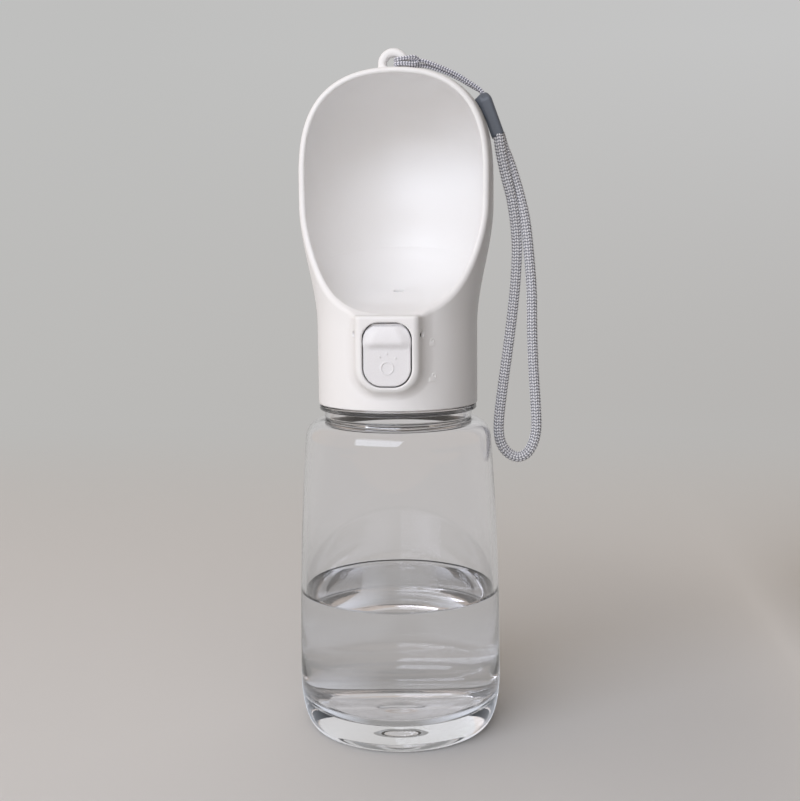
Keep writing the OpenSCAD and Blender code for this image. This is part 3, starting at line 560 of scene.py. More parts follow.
def woven(name, light, dark, roughness):
    """Woven polyester yarn: pale ribs, and painted shade in the gaps between them, read from the piece's own
    rib attribute.
    """
    material, tree, shader = new_material(name)
    rib = add_node(tree, "ShaderNodeAttribute", attribute_name="rib")
    place = add_node(tree, "ShaderNodeTexCoord")
    fibre = add_node(tree, "ShaderNodeTexNoise", {"Vector": place.outputs["Object"],
                                                  "Scale": per_metre(0.285714)})
    ramp = add_node(tree, "ShaderNodeValToRGB", {"Fac": rib.outputs["Fac"]})
    # The ramp's dark end is painted shade in the gaps between stitches.
    ramp.color_ramp.elements[0].position = 0.08
    ramp.color_ramp.elements[0].color = dark
    ramp.color_ramp.elements[1].position = 0.45
    ramp.color_ramp.elements[1].color = light
    fleck = add_node(tree, "ShaderNodeMapRange", {"Value": fibre.outputs["Fac"], "To Min": 0.75,
                                                  "To Max": 1.15})
    tone = add_node(tree, "ShaderNodeVectorMath", {0: ramp.outputs["Color"], 1: fleck.outputs[0]},
                    operation="MULTIPLY")
    bump = add_node(tree, "ShaderNodeBump", {"Height": fibre.outputs["Fac"], "Strength": 0.3,
                                             "Distance": 0.1 * MM})
    tree.links.new(tone.outputs[0], shader.inputs["Base Color"])
    tree.links.new(bump.outputs[0], shader.inputs["Normal"])
    shader.inputs["Roughness"].default_value = roughness
    shader.inputs["Sheen Weight"].default_value = 0.25
    shader.inputs["Sheen Roughness"].default_value = 0.4
    return material


def plain_finish(name, colour, roughness, metallic=0.0, grain=0.03, width=0.66667, ior=1.5):
    """One-colour finish with a fine grain of a width in millimetres and a little unevenness in its gloss."""
    material, tree, shader = new_material(name)
    place = add_node(tree, "ShaderNodeTexCoord")
    noise = add_node(tree, "ShaderNodeTexNoise", {"Vector": place.outputs["Object"],
                                                  "Scale": per_metre(width), "Detail": 2.0})
    rough = add_node(tree, "ShaderNodeMapRange", {"Value": noise.outputs["Fac"], "To Min": roughness * 0.85,
                                                  "To Max": min(1.0, roughness * 1.2)})
    bump = add_node(tree, "ShaderNodeBump", {"Height": noise.outputs["Fac"], "Strength": grain,
                                             "Distance": 0.1 * MM})
    tone = add_node(tree, "ShaderNodeMixRGB", {"Fac": noise.outputs["Fac"], "Color1": tuple(colour),
                                               "Color2": tuple(c * 0.92 for c in colour[:3]) + (1,)})
    tree.links.new(tone.outputs[0], shader.inputs["Base Color"])
    tree.links.new(rough.outputs[0], shader.inputs["Roughness"])
    tree.links.new(bump.outputs[0], shader.inputs["Normal"])
    shader.inputs["Metallic"].default_value = metallic
    if not metallic:
        shader.inputs["IOR"].default_value = ior
    return material


# ---------------------------------------------------------------- geometry nodes

def braid_tree():
    """Tube along a route with the slanted ribs of a herringbone braid raised on it."""
    tree, given = new_tree("herringbone_braid", {
        "Diameter": "Float", "Ring spacing": "Float", "Sides": "Int", "Columns": "Float", "Stitch": "Float",
        "Slant": "Float", "Relief": "Float", "Material": "Material"})
    rings = add_node(tree, "GeometryNodeResampleCurve", {"Curve": given["Geometry"],
                                                         "Length": given["Ring spacing"]}, mode="LENGTH")
    run = add_node(tree, "GeometryNodeSplineParameter").outputs["Length"]
    route = add_node(tree, "GeometryNodeStoreNamedAttribute", {
        "Geometry": rings.outputs[0], "Name": "run", "Value": run}, data_type="FLOAT", domain="POINT")
    radius = add_node(tree, "ShaderNodeMath", {0: given["Diameter"], 1: 0.5}, operation="MULTIPLY")
    circle = add_node(tree, "GeometryNodeCurvePrimitiveCircle", {"Resolution": given["Sides"],
                                                                 "Radius": radius.outputs[0]})
    index = add_node(tree, "GeometryNodeInputIndex")
    turn = add_node(tree, "ShaderNodeMath", {0: index.outputs[0], 1: given["Sides"]}, operation="DIVIDE")
    profile = add_node(tree, "GeometryNodeStoreNamedAttribute", {
        "Geometry": circle.outputs[0], "Name": "turn", "Value": turn.outputs[0]},
                       data_type="FLOAT", domain="POINT")
    tube = add_node(tree, "GeometryNodeCurveToMesh", {"Curve": route.outputs[0], "Fill Caps": True,
                                                      "Profile Curve": profile.outputs[0]})

    # Stitches run along the cord, and each column's slant leans against the next one's
    turn = add_node(tree, "GeometryNodeInputNamedAttribute", {"Name": "turn"}, data_type="FLOAT")
    run = add_node(tree, "GeometryNodeInputNamedAttribute", {"Name": "run"}, data_type="FLOAT")
    columns = add_node(tree, "ShaderNodeMath", {0: turn.outputs[0], 1: given["Columns"]},
                       operation="MULTIPLY")
    zigzag = add_node(tree, "ShaderNodeMath", {0: columns.outputs[0], 1: 1.0}, operation="PINGPONG")
    slant = add_node(tree, "ShaderNodeMath", {0: zigzag.outputs[0], 1: given["Slant"]},
                     operation="MULTIPLY")
    row = add_node(tree, "ShaderNodeMath", {0: run.outputs[0], 1: given["Stitch"]}, operation="DIVIDE")
    stitch = add_node(tree, "ShaderNodeMath", {0: row.outputs[0], 1: slant.outputs[0]}, operation="ADD")
    angle = add_node(tree, "ShaderNodeMath", {0: stitch.outputs[0], 1: 2 * math.pi}, operation="MULTIPLY")
    wave = add_node(tree, "ShaderNodeMath", {0: angle.outputs[0]}, operation="COSINE")
    half = add_node(tree, "ShaderNodeMath", {0: wave.outputs[0], 1: 0.5}, operation="MULTIPLY")
    crest = add_node(tree, "ShaderNodeMath", {0: half.outputs[0], 1: 0.5}, operation="ADD")

    # Each column is round, with a narrow groove on both sides
    across = add_node(tree, "ShaderNodeMath", {0: zigzag.outputs[0], 1: math.pi}, operation="MULTIPLY")
    rounded = add_node(tree, "ShaderNodeMath", {0: across.outputs[0]}, operation="SINE")
    groove = add_node(tree, "ShaderNodeMath", {0: rounded.outputs[0], 1: 0.4}, operation="POWER")
    height = add_node(tree, "ShaderNodeMath", {0: crest.outputs[0], 1: groove.outputs[0]},
                      operation="MULTIPLY")
    centred = add_node(tree, "ShaderNodeMath", {0: height.outputs[0], 1: 0.6}, operation="SUBTRACT")
    shift = add_node(tree, "ShaderNodeMath", {0: centred.outputs[0], 1: given["Relief"]},
                     operation="MULTIPLY")
    normal = add_node(tree, "GeometryNodeInputNormal")
    offset = add_node(tree, "ShaderNodeVectorMath", {0: normal.outputs[0], "Scale": shift.outputs[0]},
                      operation="SCALE")
    shade = add_node(tree, "GeometryNodeStoreNamedAttribute", {
        "Geometry": tube.outputs[0], "Name": "rib", "Value": height.outputs[0]},
                     data_type="FLOAT", domain="POINT")
    moved = add_node(tree, "GeometryNodeSetPosition", {"Geometry": shade.outputs[0],
                                                       "Offset": offset.outputs[0]})
    finish_tree(tree, moved.outputs[0], given["Material"])
    return tree


def along_route(name, route, tree, values):
    """Run a node tree on a route and return the plain mesh that it makes."""
    curve = bpy.data.curves.new(name + "_route", "CURVE")
    curve.dimensions = "3D"
    spline = curve.splines.new("POLY")
    spline.points.add(len(route) - 1)
    spline.points.foreach_set("co", np.hstack([route, np.ones((len(route), 1))]).ravel())
    holder = bpy.data.objects.new(name + "_route", curve)
    bpy.context.scene.collection.objects.link(holder)
    modifier = holder.modifiers.new("form", "NODES")
    modifier.node_group = tree
    for item in tree.interface.items_tree:
        if item.in_out == "INPUT" and item.name in values:
            modifier[item.identifier] = values[item.name]
    return applied(holder, name)


def thread_tree():
    """Screw thread: a tapered ridge swept along a helix, sunk a little into the neck."""
    thin_end, taper_share = 0.15, 0.06
    tree, given = new_tree("bottle_thread", {"Root": "Float", "Material": "Material"})
    place = add_node(tree, "GeometryNodeSplineParameter")
    taper = add_node(tree, "ShaderNodeFloatCurve", {"Value": place.outputs["Factor"]})
    curve = taper.mapping.curves[0]
    curve.points[0].location = (0, thin_end)
    curve.points[1].location = (1, thin_end)
    curve.points.new(taper_share, 1.0)
    curve.points.new(1 - taper_share, 1.0)
    sized = add_node(tree, "GeometryNodeSetCurveRadius", {"Curve": given["Geometry"],
                                                          "Radius": taper.outputs[0]})
    ring = add_node(tree, "GeometryNodeCurvePrimitiveCircle", {"Resolution": 10, "Radius": given["Root"]})
    tube = add_node(tree, "GeometryNodeCurveToMesh", {"Curve": sized.outputs[0], "Fill Caps": True,
                                                      "Profile Curve": ring.outputs[0]})
    finish_tree(tree, tube.outputs[0], given["Material"])
    return tree


# ---------------------------------------------------------------- sizes and colours

class BottleSizes(bpy.types.PropertyGroup):
    """Sizes of the clear bottle and what is in it."""
    water_level: FloatProperty(name="Water level", description="Height of the water's surface",
                               default=0.0498, min=0.015, max=0.1, unit="LENGTH", subtype="DISTANCE")
    meniscus: FloatProperty(name="Meniscus", description="Rise of the water at the wall",
                            default=0.0012, min=0, max=0.003, unit="LENGTH", subtype="DISTANCE")
    segments: IntProperty(name="Segments", description="Sides of the turned pieces",
                          default=224, min=48, max=360)


class HeadSizes(bpy.types.PropertyGroup):
    """How finely the head and the button are formed."""
    shell_step: FloatProperty(name="Shell step", description="Grid step of the head's surface",
                              default=0.00046, min=0.0003, max=0.002, unit="LENGTH", subtype="DISTANCE")
    button_step: FloatProperty(name="Button step", description="Grid step of the button's surface",
                               default=0.0002, min=0.0001, max=0.001, unit="LENGTH", subtype="DISTANCE")
    mark_step: FloatProperty(name="Mark step", description="Grid step of the raised marks",
                             default=0.00009, min=0.00005, max=0.0003, unit="LENGTH", subtype="DISTANCE")


class StrapSizes(bpy.types.PropertyGroup):
    """Sizes of the wrist strap."""
    cord: FloatProperty(name="Cord", description="Thickness of the thin cord", default=0.0015, min=0.0005,
                        max=0.003, unit="LENGTH", subtype="DISTANCE")
    braid: FloatProperty(name="Braid", description="Thickness of the wrist loop", default=0.0038, min=0.002,
                         max=0.006, unit="LENGTH", subtype="DISTANCE")
    stitch: FloatProperty(name="Stitch", description="Length of one stitch of the braid", default=0.0011,
                          min=0.0005, max=0.004, unit="LENGTH", subtype="DISTANCE")


class BottleFinish(bpy.types.PropertyGroup):
    """Colours of the finishes."""
    shell: FloatVectorProperty(name="Shell", description="Colour of the white head", subtype="COLOR", size=3,
                               default=linear("#F3F3F3")[:3], min=0, max=1)
    braid: FloatVectorProperty(name="Braid", description="Colour of the braid's ribs", subtype="COLOR",
                               size=3, default=linear("#F4F5F9")[:3], min=0, max=1)
    clamp: FloatVectorProperty(name="Clamp", description="Colour of the clamp", subtype="COLOR", size=3,
                               default=linear("#5E656F")[:3], min=0, max=1)


# ---------------------------------------------------------------- pieces

class BOTTLE_OT_stage(bpy.types.Operator):
    """Camera, pale sweep, softbox, flag and world"""
    bl_idname = "bottle.stage"
    bl_label = "Stage"

    def execute(self, context):
        scene = context.scene
        scene.view_settings.view_transform = "Standard"
        camera = bpy.data.cameras.new("camera")
        camera.sensor_fit = "HORIZONTAL"
        camera.sensor_width = SENSOR
        camera.lens = FOCAL_PX * SENSOR / WIDTH_PX
        camera.clip_start, camera.clip_end = 0.01, 20
        view = bpy.data.objects.new("camera", camera)
        scene.collection.objects.link(view)
        forward = Vector(CAMERA_WAY).normalized()
        right = forward.cross(Vector((0, 0, 1))).normalized()
        up = right.cross(forward)
        side = right * math.cos(CAMERA_ROLL) - up * math.sin(CAMERA_ROLL)
        top = right * math.sin(CAMERA_ROLL) + up * math.cos(CAMERA_ROLL)
        turn = Matrix((side, top, -forward)).transposed().to_4x4()
        view.matrix_world = Matrix.Translation(CAMERA_AT) @ turn
        scene.camera = view
        self.sweep()
        self.softbox("key_softbox", place=(-0.50, -1.26, 0.96), target=(0, 0, 0.15), size=(1.60, 1.00),
                     power=14.5)
        self.flag()
        self.world(scene)
        return {"FINISHED"}

    def softbox(self, name, place, target, size, power):
        """Rectangular lamp that faces a point."""
        lamp = bpy.data.lights.new(name, "AREA")
        lamp.shape = "RECTANGLE"
        lamp.size, lamp.size_y = size
        lamp.energy = power
        lamp.color = linear("#E6EFFF")[:3]
        holder = bpy.data.objects.new(name, lamp)
        holder.location = place
        holder.rotation_euler = (Vector(target) - Vector(place)).to_track_quat("-Z", "Y").to_euler()
        bpy.context.scene.collection.objects.link(holder)

    def sweep(self):
        """Paper floor that curves up into a backdrop. Far off, the camera sees it as a glowing grey with
        painted shade; the glass and glossy surfaces see all of it glowing, which paints out the bottle's
        shadow, with painted shade and painted light round the bottle.
        """
        material, tree, shader = new_material("pale_paper")
        place = add_node(tree, "ShaderNodeTexCoord")
        part = add_node(tree, "ShaderNodeSeparateXYZ", {0: place.outputs["Object"]})
        far = add_node(tree, "ShaderNodeMapRange", {"Value": part.outputs["Y"], "From Min": 0.1,
                                                    "From Max": 0.75}, interpolation_type="SMOOTHSTEP")
        fibre = add_node(tree, "ShaderNodeTexNoise", {"Vector": place.outputs["Object"], "Scale": 900.0})
        bump = add_node(tree, "ShaderNodeBump", {"Height": fibre.outputs["Fac"], "Strength": 0.03})
        shader.inputs["Base Color"].default_value = linear("#E0E0DF")
        shader.inputs["Roughness"].default_value = 0.8
        shader.inputs["Specular IOR Level"].default_value = 0.2
        tree.links.new(bump.outputs[0], shader.inputs["Normal"])
        # The glowing grey is darker low down and shifts in tone from left to right: painted shade of the
        # sweep.
        wide = add_node(tree, "ShaderNodeMapRange", {"Value": part.outputs["X"], "From Min": -0.6,
                                                     "From Max": 0.6})
        high = add_node(tree, "ShaderNodeMapRange", {"Value": part.outputs["Z"], "From Min": 0.0,
                                                     "From Max": 0.5})
        low = add_node(tree, "ShaderNodeMixRGB", {"Fac": wide.outputs[0], "Color1": linear("#BBBAB8"),
                                                  "Color2": linear("#B6B4B2")})
        top = add_node(tree, "ShaderNodeMixRGB", {"Fac": wide.outputs[0], "Color1": linear("#BFBFBE"),
                                                  "Color2": linear("#C6C6C6")})
        tone = add_node(tree, "ShaderNodeMixRGB", {"Fac": high.outputs[0], "Color1": low.outputs[0],
                                                   "Color2": top.outputs[0]})
        rays = add_node(tree, "ShaderNodeLightPath")
        # Seen through the glass, the paper is dimmed close behind the bottle as painted shade and brightened
        # farther back as painted light.
        behind = add_node(tree, "ShaderNodeMapRange", {"Value": part.outputs["Y"], "From Min": 0.04,
                                                       "From Max": 0.3, "To Min": -0.16, "To Max": 0.16})
        lift = add_node(tree, "ShaderNodeMath", {0: rays.outputs["Is Transmission Ray"], 1: behind.outputs[0],
                                                 2: 1.0}, operation="MULTIPLY_ADD")
        # Round the bottle's foot the glass sees a painted spot: painted shade in the middle and pale bluish
        # painted light at the sides.
        away = add_node(tree, "ShaderNodeVectorMath", {0: place.outputs["Object"]}, operation="LENGTH")
        painted_spot_near_bottle = add_node(tree, "ShaderNodeMapRange", {"Value": away.outputs["Value"], "From Min": 0.078,
                                                     "From Max": 0.046})
        across = add_node(tree, "ShaderNodeMath", {0: part.outputs["X"]}, operation="ABSOLUTE")
        painted_light_sides = add_node(tree, "ShaderNodeMapRange", {"Value": across.outputs[0], "From Min": 0.008,
                                                     "From Max": 0.024})
        under = add_node(tree, "ShaderNodeMixRGB", {"Fac": painted_light_sides.outputs[0], "Color1": linear("#A6A6A5"),
                                                    "Color2": linear("#F0F5FF")})
        tone = add_node(tree, "ShaderNodeMixRGB", {"Fac": painted_spot_near_bottle.outputs[0], "Color1": tone.outputs[0],
                                                   "Color2": under.outputs[0]})
        glow = add_node(tree, "ShaderNodeEmission", {"Color": tone.outputs[0], "Strength": lift.outputs[0]})
        # The glass sees the paper glowing even where the bottle shades it: painted light over the bottle's
        # shadow.
        amount = add_node(tree, "ShaderNodeMath", {0: rays.outputs["Is Camera Ray"], 1: far.outputs[0]},
                          operation="MULTIPLY")
        for ray in ("Is Glossy Ray", "Is Transmission Ray"):
            amount = add_node(tree, "ShaderNodeMath", {0: amount.outputs[0], 1: rays.outputs[ray]},
                              operation="MAXIMUM")
        mix = add_node(tree, "ShaderNodeMixShader", {0: amount.outputs[0], 1: shader.outputs[0],
                                                     2: glow.outputs[0]})
        out = next(n for n in tree.nodes if n.type == "OUTPUT_MATERIAL")
        tree.links.new(mix.outputs[0], out.inputs["Surface"])
        bend_y, bend_r, front_y, top_z, half_wide = 0.9, 0.5, -1.2, 2.0, 1.6
        bend = [(bend_y + bend_r * math.sin(a), bend_r - bend_r * math.cos(a))
                for a in np.linspace(0, math.pi / 2, 24)]
        line = [(front_y, 0.0)] + bend + [(bend_y + bend_r, top_z)]
        points = [(x, y, z) for y, z in line for x in (-half_wide, half_wide)]
        faces = [(2 * i, 2 * i + 1, 2 * i + 3, 2 * i + 2) for i in range(len(line) - 1)]
        make_mesh("paper_sweep", points, faces, material)

    def flag(self):
        """Black flag on the right, out of sight, that darkens the white pieces' right edges."""
        x, front, back, low, high = 0.16, -0.2, 0.16, 0.05, 0.3
        felt = plain_finish("black_felt", linear("#262625"), 0.9, grain=0.2, width=2.5)
        corners = [(x, front, low), (x, back, low), (x, back, high), (x, front, high)]
        flag = make_mesh("black_flag", corners, [(0, 1, 2, 3)], felt)
        flag.visible_camera = flag.visible_glossy = flag.visible_transmission = False

    def world(self, scene):
        """Dim room round the sweep, which the camera sees as the backdrop's grey."""
        world = bpy.data.worlds.new("room")
        scene.world = world
        world.use_nodes = True
        tree = world.node_tree
        tree.nodes.clear()
        rays = add_node(tree, "ShaderNodeLightPath")
        way_in = add_node(tree, "ShaderNodeTexCoord").outputs["Generated"]
        slope = add_node(tree, "ShaderNodeVectorMath", {0: way_in, 1: (0.36, 0.36, -0.05)},
                         operation="DOT_PRODUCT")
        level = add_node(tree, "ShaderNodeMath", {0: 0.42, 1: slope.outputs["Value"]}, operation="SUBTRACT")
        level = add_node(tree, "ShaderNodeMath", {0: level.outputs[0], 1: 0.06}, operation="MAXIMUM")
        clear = add_node(tree, "ShaderNodeMath", {0: rays.outputs["Is Glossy Ray"],
                                                  1: rays.outputs["Is Transmission Ray"]},
                         operation="MAXIMUM")
        level = add_node(tree, "ShaderNodeMix", {"Factor": clear.outputs[0], "A": level.outputs[0], "B": 0.6})
        room = add_node(tree, "ShaderNodeBackground", {"Color": linear("#FFF0E2"),
                                                       "Strength": level.outputs[0]})
        seen = add_node(tree, "ShaderNodeBackground", {"Color": linear("#C5C5C5"), "Strength": 1.0})
        mix = add_node(tree, "ShaderNodeMixShader", {0: rays.outputs["Is Camera Ray"], 1: room.outputs[0],
                                                     2: seen.outputs[0]})
        add_node(tree, "ShaderNodeOutputWorld", {0: mix.outputs[0]})


class BOTTLE_OT_strap(bpy.types.Operator):
    """Thin hitched cord, wrist loop and the clamp that joins them"""
    bl_idname = "bottle.strap"
    bl_label = "Wrist strap"

    def execute(self, context):
        sizes, colours = context.scene.bottle_strap, context.scene.bottle_finish
        tree = braid_tree()
        ribs = tuple(colours.braid) + (1,)
        # Moulded nylon: dark slate with an even half-gloss that shows the rounded edges
        nylon = plain_finish("moulded_slate_nylon", tuple(colours.clamp) + (1,), 0.38, grain=0.08)
        clamp = formed("cord_clamp", clamp_form, low=(27.5, -2, 211.5), high=(39, 8, 229), step=0.22,
                       material=nylon)
        settle(clamp, "head_body", "clamp_plastic", "strap_clamp")
        path = smooth_route(CORD_ROUTE)
        # The thin cord's stitches are longer and fewer than real ones, so that they show
        # The second colour is painted shade between the stitches.
        yarn = woven("woven_thin_cord", linear("#EEEFF7"), linear("#6A6D7B"), 0.75)
        cord = along_route("hitched_cord", path, tree, {
            "Diameter": sizes.cord, "Ring spacing": 0.00013, "Sides": 24, "Columns": 4.0, "Stitch": 0.0009,
            "Slant": 0.35, "Relief": 0.0001, "Material": yarn})
        settle(cord, "head_body", "grey_cord", "eye_cord")
        path = smooth_route(LOOP_ROUTE)
        # The second colour is painted shade between the stitches.
        yarn = woven("tubular_polyester_braid", ribs, linear("#84868E"), 0.6)
        braid = along_route("wrist_braid", path, tree, {
            "Diameter": sizes.braid, "Ring spacing": 0.0002, "Sides": 48, "Columns": 12.0,
            "Stitch": sizes.stitch, "Slant": 0.5, "Relief": 0.00034, "Material": yarn})
        settle(braid, "head_body", "grey_braid", "wrist_loop")
        return {"FINISHED"}


class BOTTLE_OT_bottle(bpy.types.Operator):
    """Clear bottle, its thread and the water in it"""
    bl_idname = "bottle.bottle"
    bl_label = "Bottle and water"

    def execute(self, context):
        sizes = context.scene.bottle_sizes
        clear = clear_copolyester()
        b = BOTTLE
        bottle = lathe("clear_bottle", self.profile(), clear, sizes.segments)
        settle(bottle, "bottle_body", "clear_bottle", "bottle")
        ridge_r, low = b["finish"] + 0.25, b["flange_top"] + 2.4
        t = np.linspace(0, 1, 160)
        angle = t * THREAD_TURNS * 2 * np.pi
        helix = np.stack([ridge_r * np.cos(angle), ridge_r * np.sin(angle),
                          low + THREAD_PITCH * THREAD_TURNS * t], 1) * MM
        thread = along_route("bottle_thread", helix, thread_tree(), {"Root": 0.0008, "Material": clear})
        settle(thread, "bottle_body", "clear_bottle", "bottle")
        water = lathe("water", self.water_profile(sizes), still_water(), sizes.segments)
        settle(water, "bottle_body", "clear_bottle")
        return {"FINISHED"}

    def wall(self, z, inset=0.0):
        """Radius of the body at a height."""
        t = np.maximum(z - BOTTLE["heel"], 0) / (BOTTLE["shoulder"] - BOTTLE["heel"])
        return BOTTLE["side"] - BOTTLE["draw_in"] * t * t - inset

    def inner_floor(self, inset=0.0):
        """Inside of the base: a shallow crown in the middle and a round corner at the wall."""
        b = BOTTLE
        edge_r, corner, crown_h, crown_r = self.wall(b["heel"]) - b["wall"], 10, 0.8, 4.2
        crown = [(r, b["floor"] + crown_h * math.exp(-(r / crown_r) ** 2) + inset)
                 for r in np.linspace(0, 24, 40)]
        turn = [(edge_r - corner + (corner - inset) * math.sin(a),
                 b["floor"] + corner - (corner - inset) * math.cos(a))
                for a in np.linspace(0.02, math.pi / 2, 16)]
        return crown + turn

    def profile(self):
        """Outside from the punt to the mouth, then down the inside."""
        b = BOTTLE
        punt_z, dimple_h, dimple_r, dimple_end = 2.1, 0.9, 5.2, 11
        neck_z, inside_z, inside_r = 113.5, 111.7, 24.6
        z = np.linspace(b["heel"], b["shoulder"], 40)
        dimple = [(r, punt_z + dimple_h * math.exp(-(r / dimple_r) ** 4))
                  for r in np.linspace(0, dimple_end, 30)]
        ring = filleted([(dimple_end, punt_z, 0), (20, 2.2, 2), (28.3, 0.0, 0.8), (b["foot"], 0.0, 0)], 4)
        foot = dimple + list(ring)[1:]
        heel = [(b["foot"] + (b["side"] - b["foot"]) * math.sin(a), b["heel"] * (1 - math.cos(a)))
                for a in np.linspace(0.03, math.pi / 2, 28)]
        side = list(zip(self.wall(z), z))[1:]
        centre = self.wall(b["shoulder"]) - b["round"]
        shoulder = [(centre + b["round"] * math.cos(a), b["shoulder"] + b["round"] * math.sin(a))
                    for a in np.linspace(0.06, math.pi / 2 - 0.05, 16)]
        neck = filleted([(centre + 0.4, neck_z, 0), (b["neck"], neck_z, 0.9),
                         (b["neck"], b["flange_low"], 0.3), (b["flange"], b["flange_low"], 0.5),
                         (b["flange"], b["flange_top"], 0.5),
                         (b["finish"], b["flange_top"], 0.5), (b["finish"], b["top"], 0.6),
                         (b["mouth"], b["top"], 0.6), (b["mouth"], 119.6, 1), (inside_r, 116.9, 1.5),
                         (inside_r, inside_z, 0.9), (centre, inside_z, 0)], 5)
        inner = b["round"] - b["wall"]
        under = [(centre + inner * math.cos(a), b["shoulder"] + inner * math.sin(a))
                 for a in np.linspace(math.pi / 2 - 0.06, 0.06, 14)]
        down = [(self.wall(v) - b["wall"], v) for v in z[::-1]][:-1]
        floor = self.inner_floor()[::-1]
        line = list(foot[:-1]) + heel + side + shoulder + list(neck[1:-1]) + under + down + floor
        return [tuple(p) for p in line]

    def water_profile(self, sizes):
        """Water from the floor up to its surface, a hair into the wall, so that no air lies between them."""
        b, gap, curl, flat_from = BOTTLE, -0.05, 1.3, 9
        level, rise = sizes.water_level / MM, sizes.meniscus / MM
        floor = self.inner_floor(gap)
        z = np.linspace(b["heel"] + 2, level + rise, 30)
        side = list(zip(self.wall(z) - b["wall"] - gap, z))
        edge = side[-1][0]
        top = [(edge - s, level + rise * math.exp(-s / curl)) for s in np.linspace(0.15, 8, 26)]
        flat = [(r, level) for r in np.linspace(edge - flat_from, 1, 16)]
        return floor + side + top + flat + [(0, level)]


class BOTTLE_OT_head(bpy.types.Operator):
    """Drinking head with its scoop, housing and eye, and the two padlock marks beside the button"""
    bl_idname = "bottle.head"
    bl_label = "Head"

    def execute(self, context):
        step = context.scene.bottle_head.shell_step / MM
        white = white_abs()
        head = formed("drinking_head", head_form, low=(-36.2, -34.2, 117.6), high=(36.2, 36.2, 243.6),
                      step=step, material=white, most=192000)
        settle(head, "head_body", "white_shell", "head_shell")
        fine = context.scene.bottle_head.mark_step / MM
        turn, mark_half = math.radians(MARK_TURN), 0.28
        for name, height, lift in (("closed_padlock_mark", 141.9, 0.0), ("open_padlock_mark", 129.8, 0.8)):
            def form(x, y, z, height=height, lift=lift):
                swing = np.arctan2(x, -y) - turn
                raised = np.abs(np.hypot(x, y) - SKIRT_R) - mark_half
                return trimmed(padlock(swing * SKIRT_R, z - height, lift), raised, 0.1)
            middle = np.array([SKIRT_R * math.sin(turn), -SKIRT_R * math.cos(turn), height])
            mark = formed(name, form, low=middle - [2.2, 1.9, 2.2], high=middle + [2.2, 1.9, 2.4],
                          step=fine, material=white)
            settle(mark, "head_body", "white_shell")
        return {"FINISHED"}


class BOTTLE_OT_pin(bpy.types.Operator):
    """Hinge pin, nearly black as painted shade, whose ends fill the holes in the housing's sides"""
    bl_idname = "bottle.pin"
    bl_label = "Hinge pin"

    def execute(self, context):
        edge = 0.25
        line = filleted([(0, -PIN_HALF, 0), (PIN_R, -PIN_HALF, edge), (PIN_R, PIN_HALF, edge),
                         (0, PIN_HALF, 0)])
        # Steel coloured nearly black as painted shade of the holes, with a dull shine at the ends
        dark = plain_finish("steel_painted_hole_shade", linear("#2C2D30"), 0.45, metallic=1.0, grain=0.05, width=0.4)
        pin = lathe("hinge_pin", [tuple(p) for p in line], dark, 48)
        place = Matrix.Translation((0, PIVOT[0] * MM, PIVOT[1] * MM)) @ Matrix.Rotation(math.pi / 2, 4, "Y")
        pin.data.transform(place)
        settle(pin, "head_body", "steel", "pivot_pin")
        return {"FINISHED"}


class BOTTLE_OT_button(bpy.types.Operator):
    """Thumb button and the raised ring and dots on it"""
    bl_idname = "bottle.button"
    bl_label = "Button"

    def execute(self, context):
        sizes = context.scene.bottle_head
        # Moulded ABS: a hair cooler and glossier than the head's
        white = plain_finish("moulded_button_abs", linear("#F1F1F3"), 0.36, grain=0.04, width=0.5)
        button = formed("thumb_button", button_form, low=(-8.8, -33.6, 126.7), high=(8.8, -25.8, 149.2),
                        step=sizes.button_step / MM, material=white)
        settle(button, "button_body", "white_button", "button")

        def ring_and_dots(x, y, z):
            ring_z, ring_r, half_line, dot_r, half_deep = 133.7, 2.05, 0.26, 0.43, 0.24
            v = z - ring_z
            flat = np.abs(np.hypot(x, v) - ring_r) - half_line
            for at, up in ((-2.4, 3.9), (0, 4.9), (2.9, 3.4)):
                flat = np.minimum(flat, np.hypot(x - at, v - up) - dot_r)
            return trimmed(flat, np.abs(y - PLATE_Y) - half_deep, 0.14)
        mark = formed("ring_mark", ring_and_dots, low=(-3.6, -31.6, 130.8), high=(3.8, -30.6, 139.4),
                      step=sizes.mark_step / MM, material=white)
        settle(mark, "button_body", "white_button")
        return {"FINISHED"}


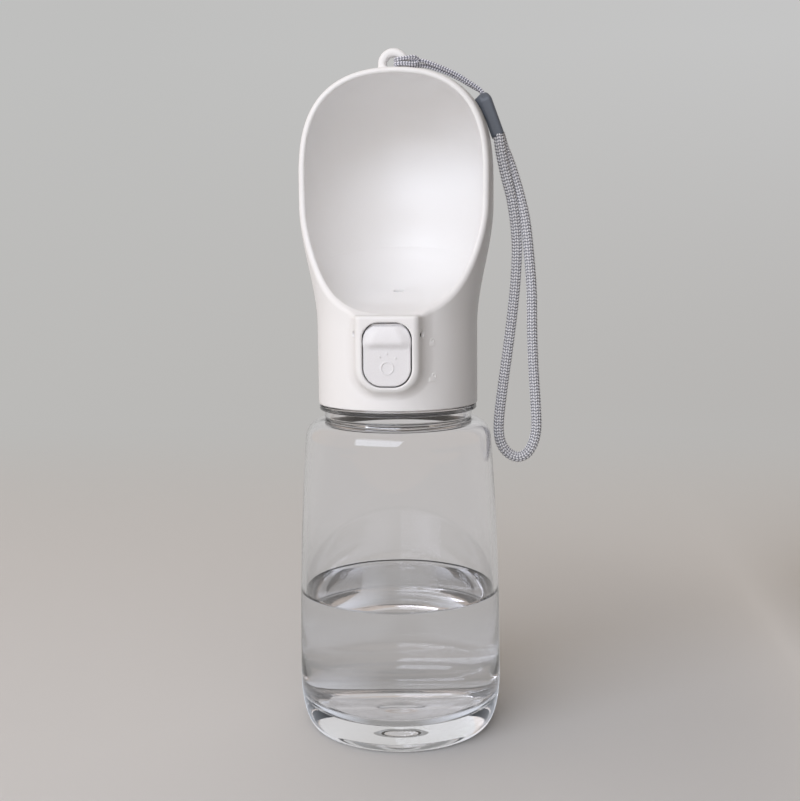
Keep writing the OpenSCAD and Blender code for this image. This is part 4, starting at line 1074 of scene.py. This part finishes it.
class BOTTLE_OT_inner_parts(bpy.types.Operator):
    """Finishes of the cap, valve, lever, spring and seals inside the head"""
    bl_idname = "bottle.inner_parts"
    bl_label = "Inner parts"

    def execute(self, context):
        # Uncoloured polypropylene: a milky white with a dull moulded grain
        natural = plain_finish("moulded_natural_polypropylene", linear("#DCDCDE"), 0.45, grain=0.1,
                               width=1.1111)
        # Silicone: pale grey and matte, softer in its shine than the plastics
        silicone = plain_finish("moulded_translucent_silicone", linear("#CCCED1"), 0.55, grain=0.12,
                                width=1.4286, ior=1.41)
        # Nitrile rubber: black and matte, with a coarse grain
        rubber = plain_finish("moulded_nitrile_rubber", linear("#1A1A1B"), 0.7, grain=0.2, width=1.1111,
                              ior=1.52)
        # Drawn stainless wire and screws: bright, with a fine unevenness
        steel = plain_finish("bright_stainless_steel", linear("#C4C5C8"), 0.25, metallic=1.0, grain=0.05,
                             width=0.4)
        finishes = {natural: ("inner_cap", "chamber_lid", "rocker", "valve_stem", "lift_collar"),
                    silicone: ("neck_gasket", "lid_gasket", "outlet_seal", "valve_plug"),
                    rubber: ("stem_oring",),
                    steel: ("lid_screws", "detent_clip", "stem_clip", "valve_spring")}
        for material, nodes in finishes.items():
            for node in nodes:
                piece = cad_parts[node]
                piece.data.materials.clear()
                piece.data.materials.append(material)
        return {"FINISHED"}


class BOTTLE_PT_panel(bpy.types.Panel):
    """Sizes, colours and build steps"""
    bl_idname = "BOTTLE_PT_panel"
    bl_label = "Water bottle"
    bl_space_type = "VIEW_3D"
    bl_region_type = "UI"
    bl_category = "Water bottle"

    def draw(self, context):
        scene = context.scene
        for group in (scene.bottle_sizes, scene.bottle_head, scene.bottle_strap, scene.bottle_finish):
            box = self.layout.box()
            for name in group.__annotations__:
                box.prop(group, name)
        for operator in STEPS:
            self.layout.operator(operator.bl_idname)


STEPS = (BOTTLE_OT_stage, BOTTLE_OT_strap, BOTTLE_OT_bottle, BOTTLE_OT_head, BOTTLE_OT_pin, BOTTLE_OT_button,
         BOTTLE_OT_inner_parts)
GROUPS = {"bottle_sizes": BottleSizes, "bottle_head": HeadSizes, "bottle_strap": StrapSizes,
          "bottle_finish": BottleFinish}


def register():
    """Register the classes and the scene's settings."""
    for cls in tuple(GROUPS.values()) + STEPS + (BOTTLE_PT_panel,):
        bpy.utils.register_class(cls)
    for name, group in GROUPS.items():
        setattr(bpy.types.Scene, name, PointerProperty(type=group))


def unregister():
    """Remove the scene's settings and the classes."""
    for name in GROUPS:
        delattr(bpy.types.Scene, name)
    for cls in reversed(tuple(GROUPS.values()) + STEPS + (BOTTLE_PT_panel,)):
        bpy.utils.unregister_class(cls)


def main():
    """Build every piece in order."""
    register()
    for operator in STEPS:
        prefix, name = operator.bl_idname.split(".")
        getattr(getattr(bpy.ops, prefix), name)()


if __name__ == "__main__":
    main()
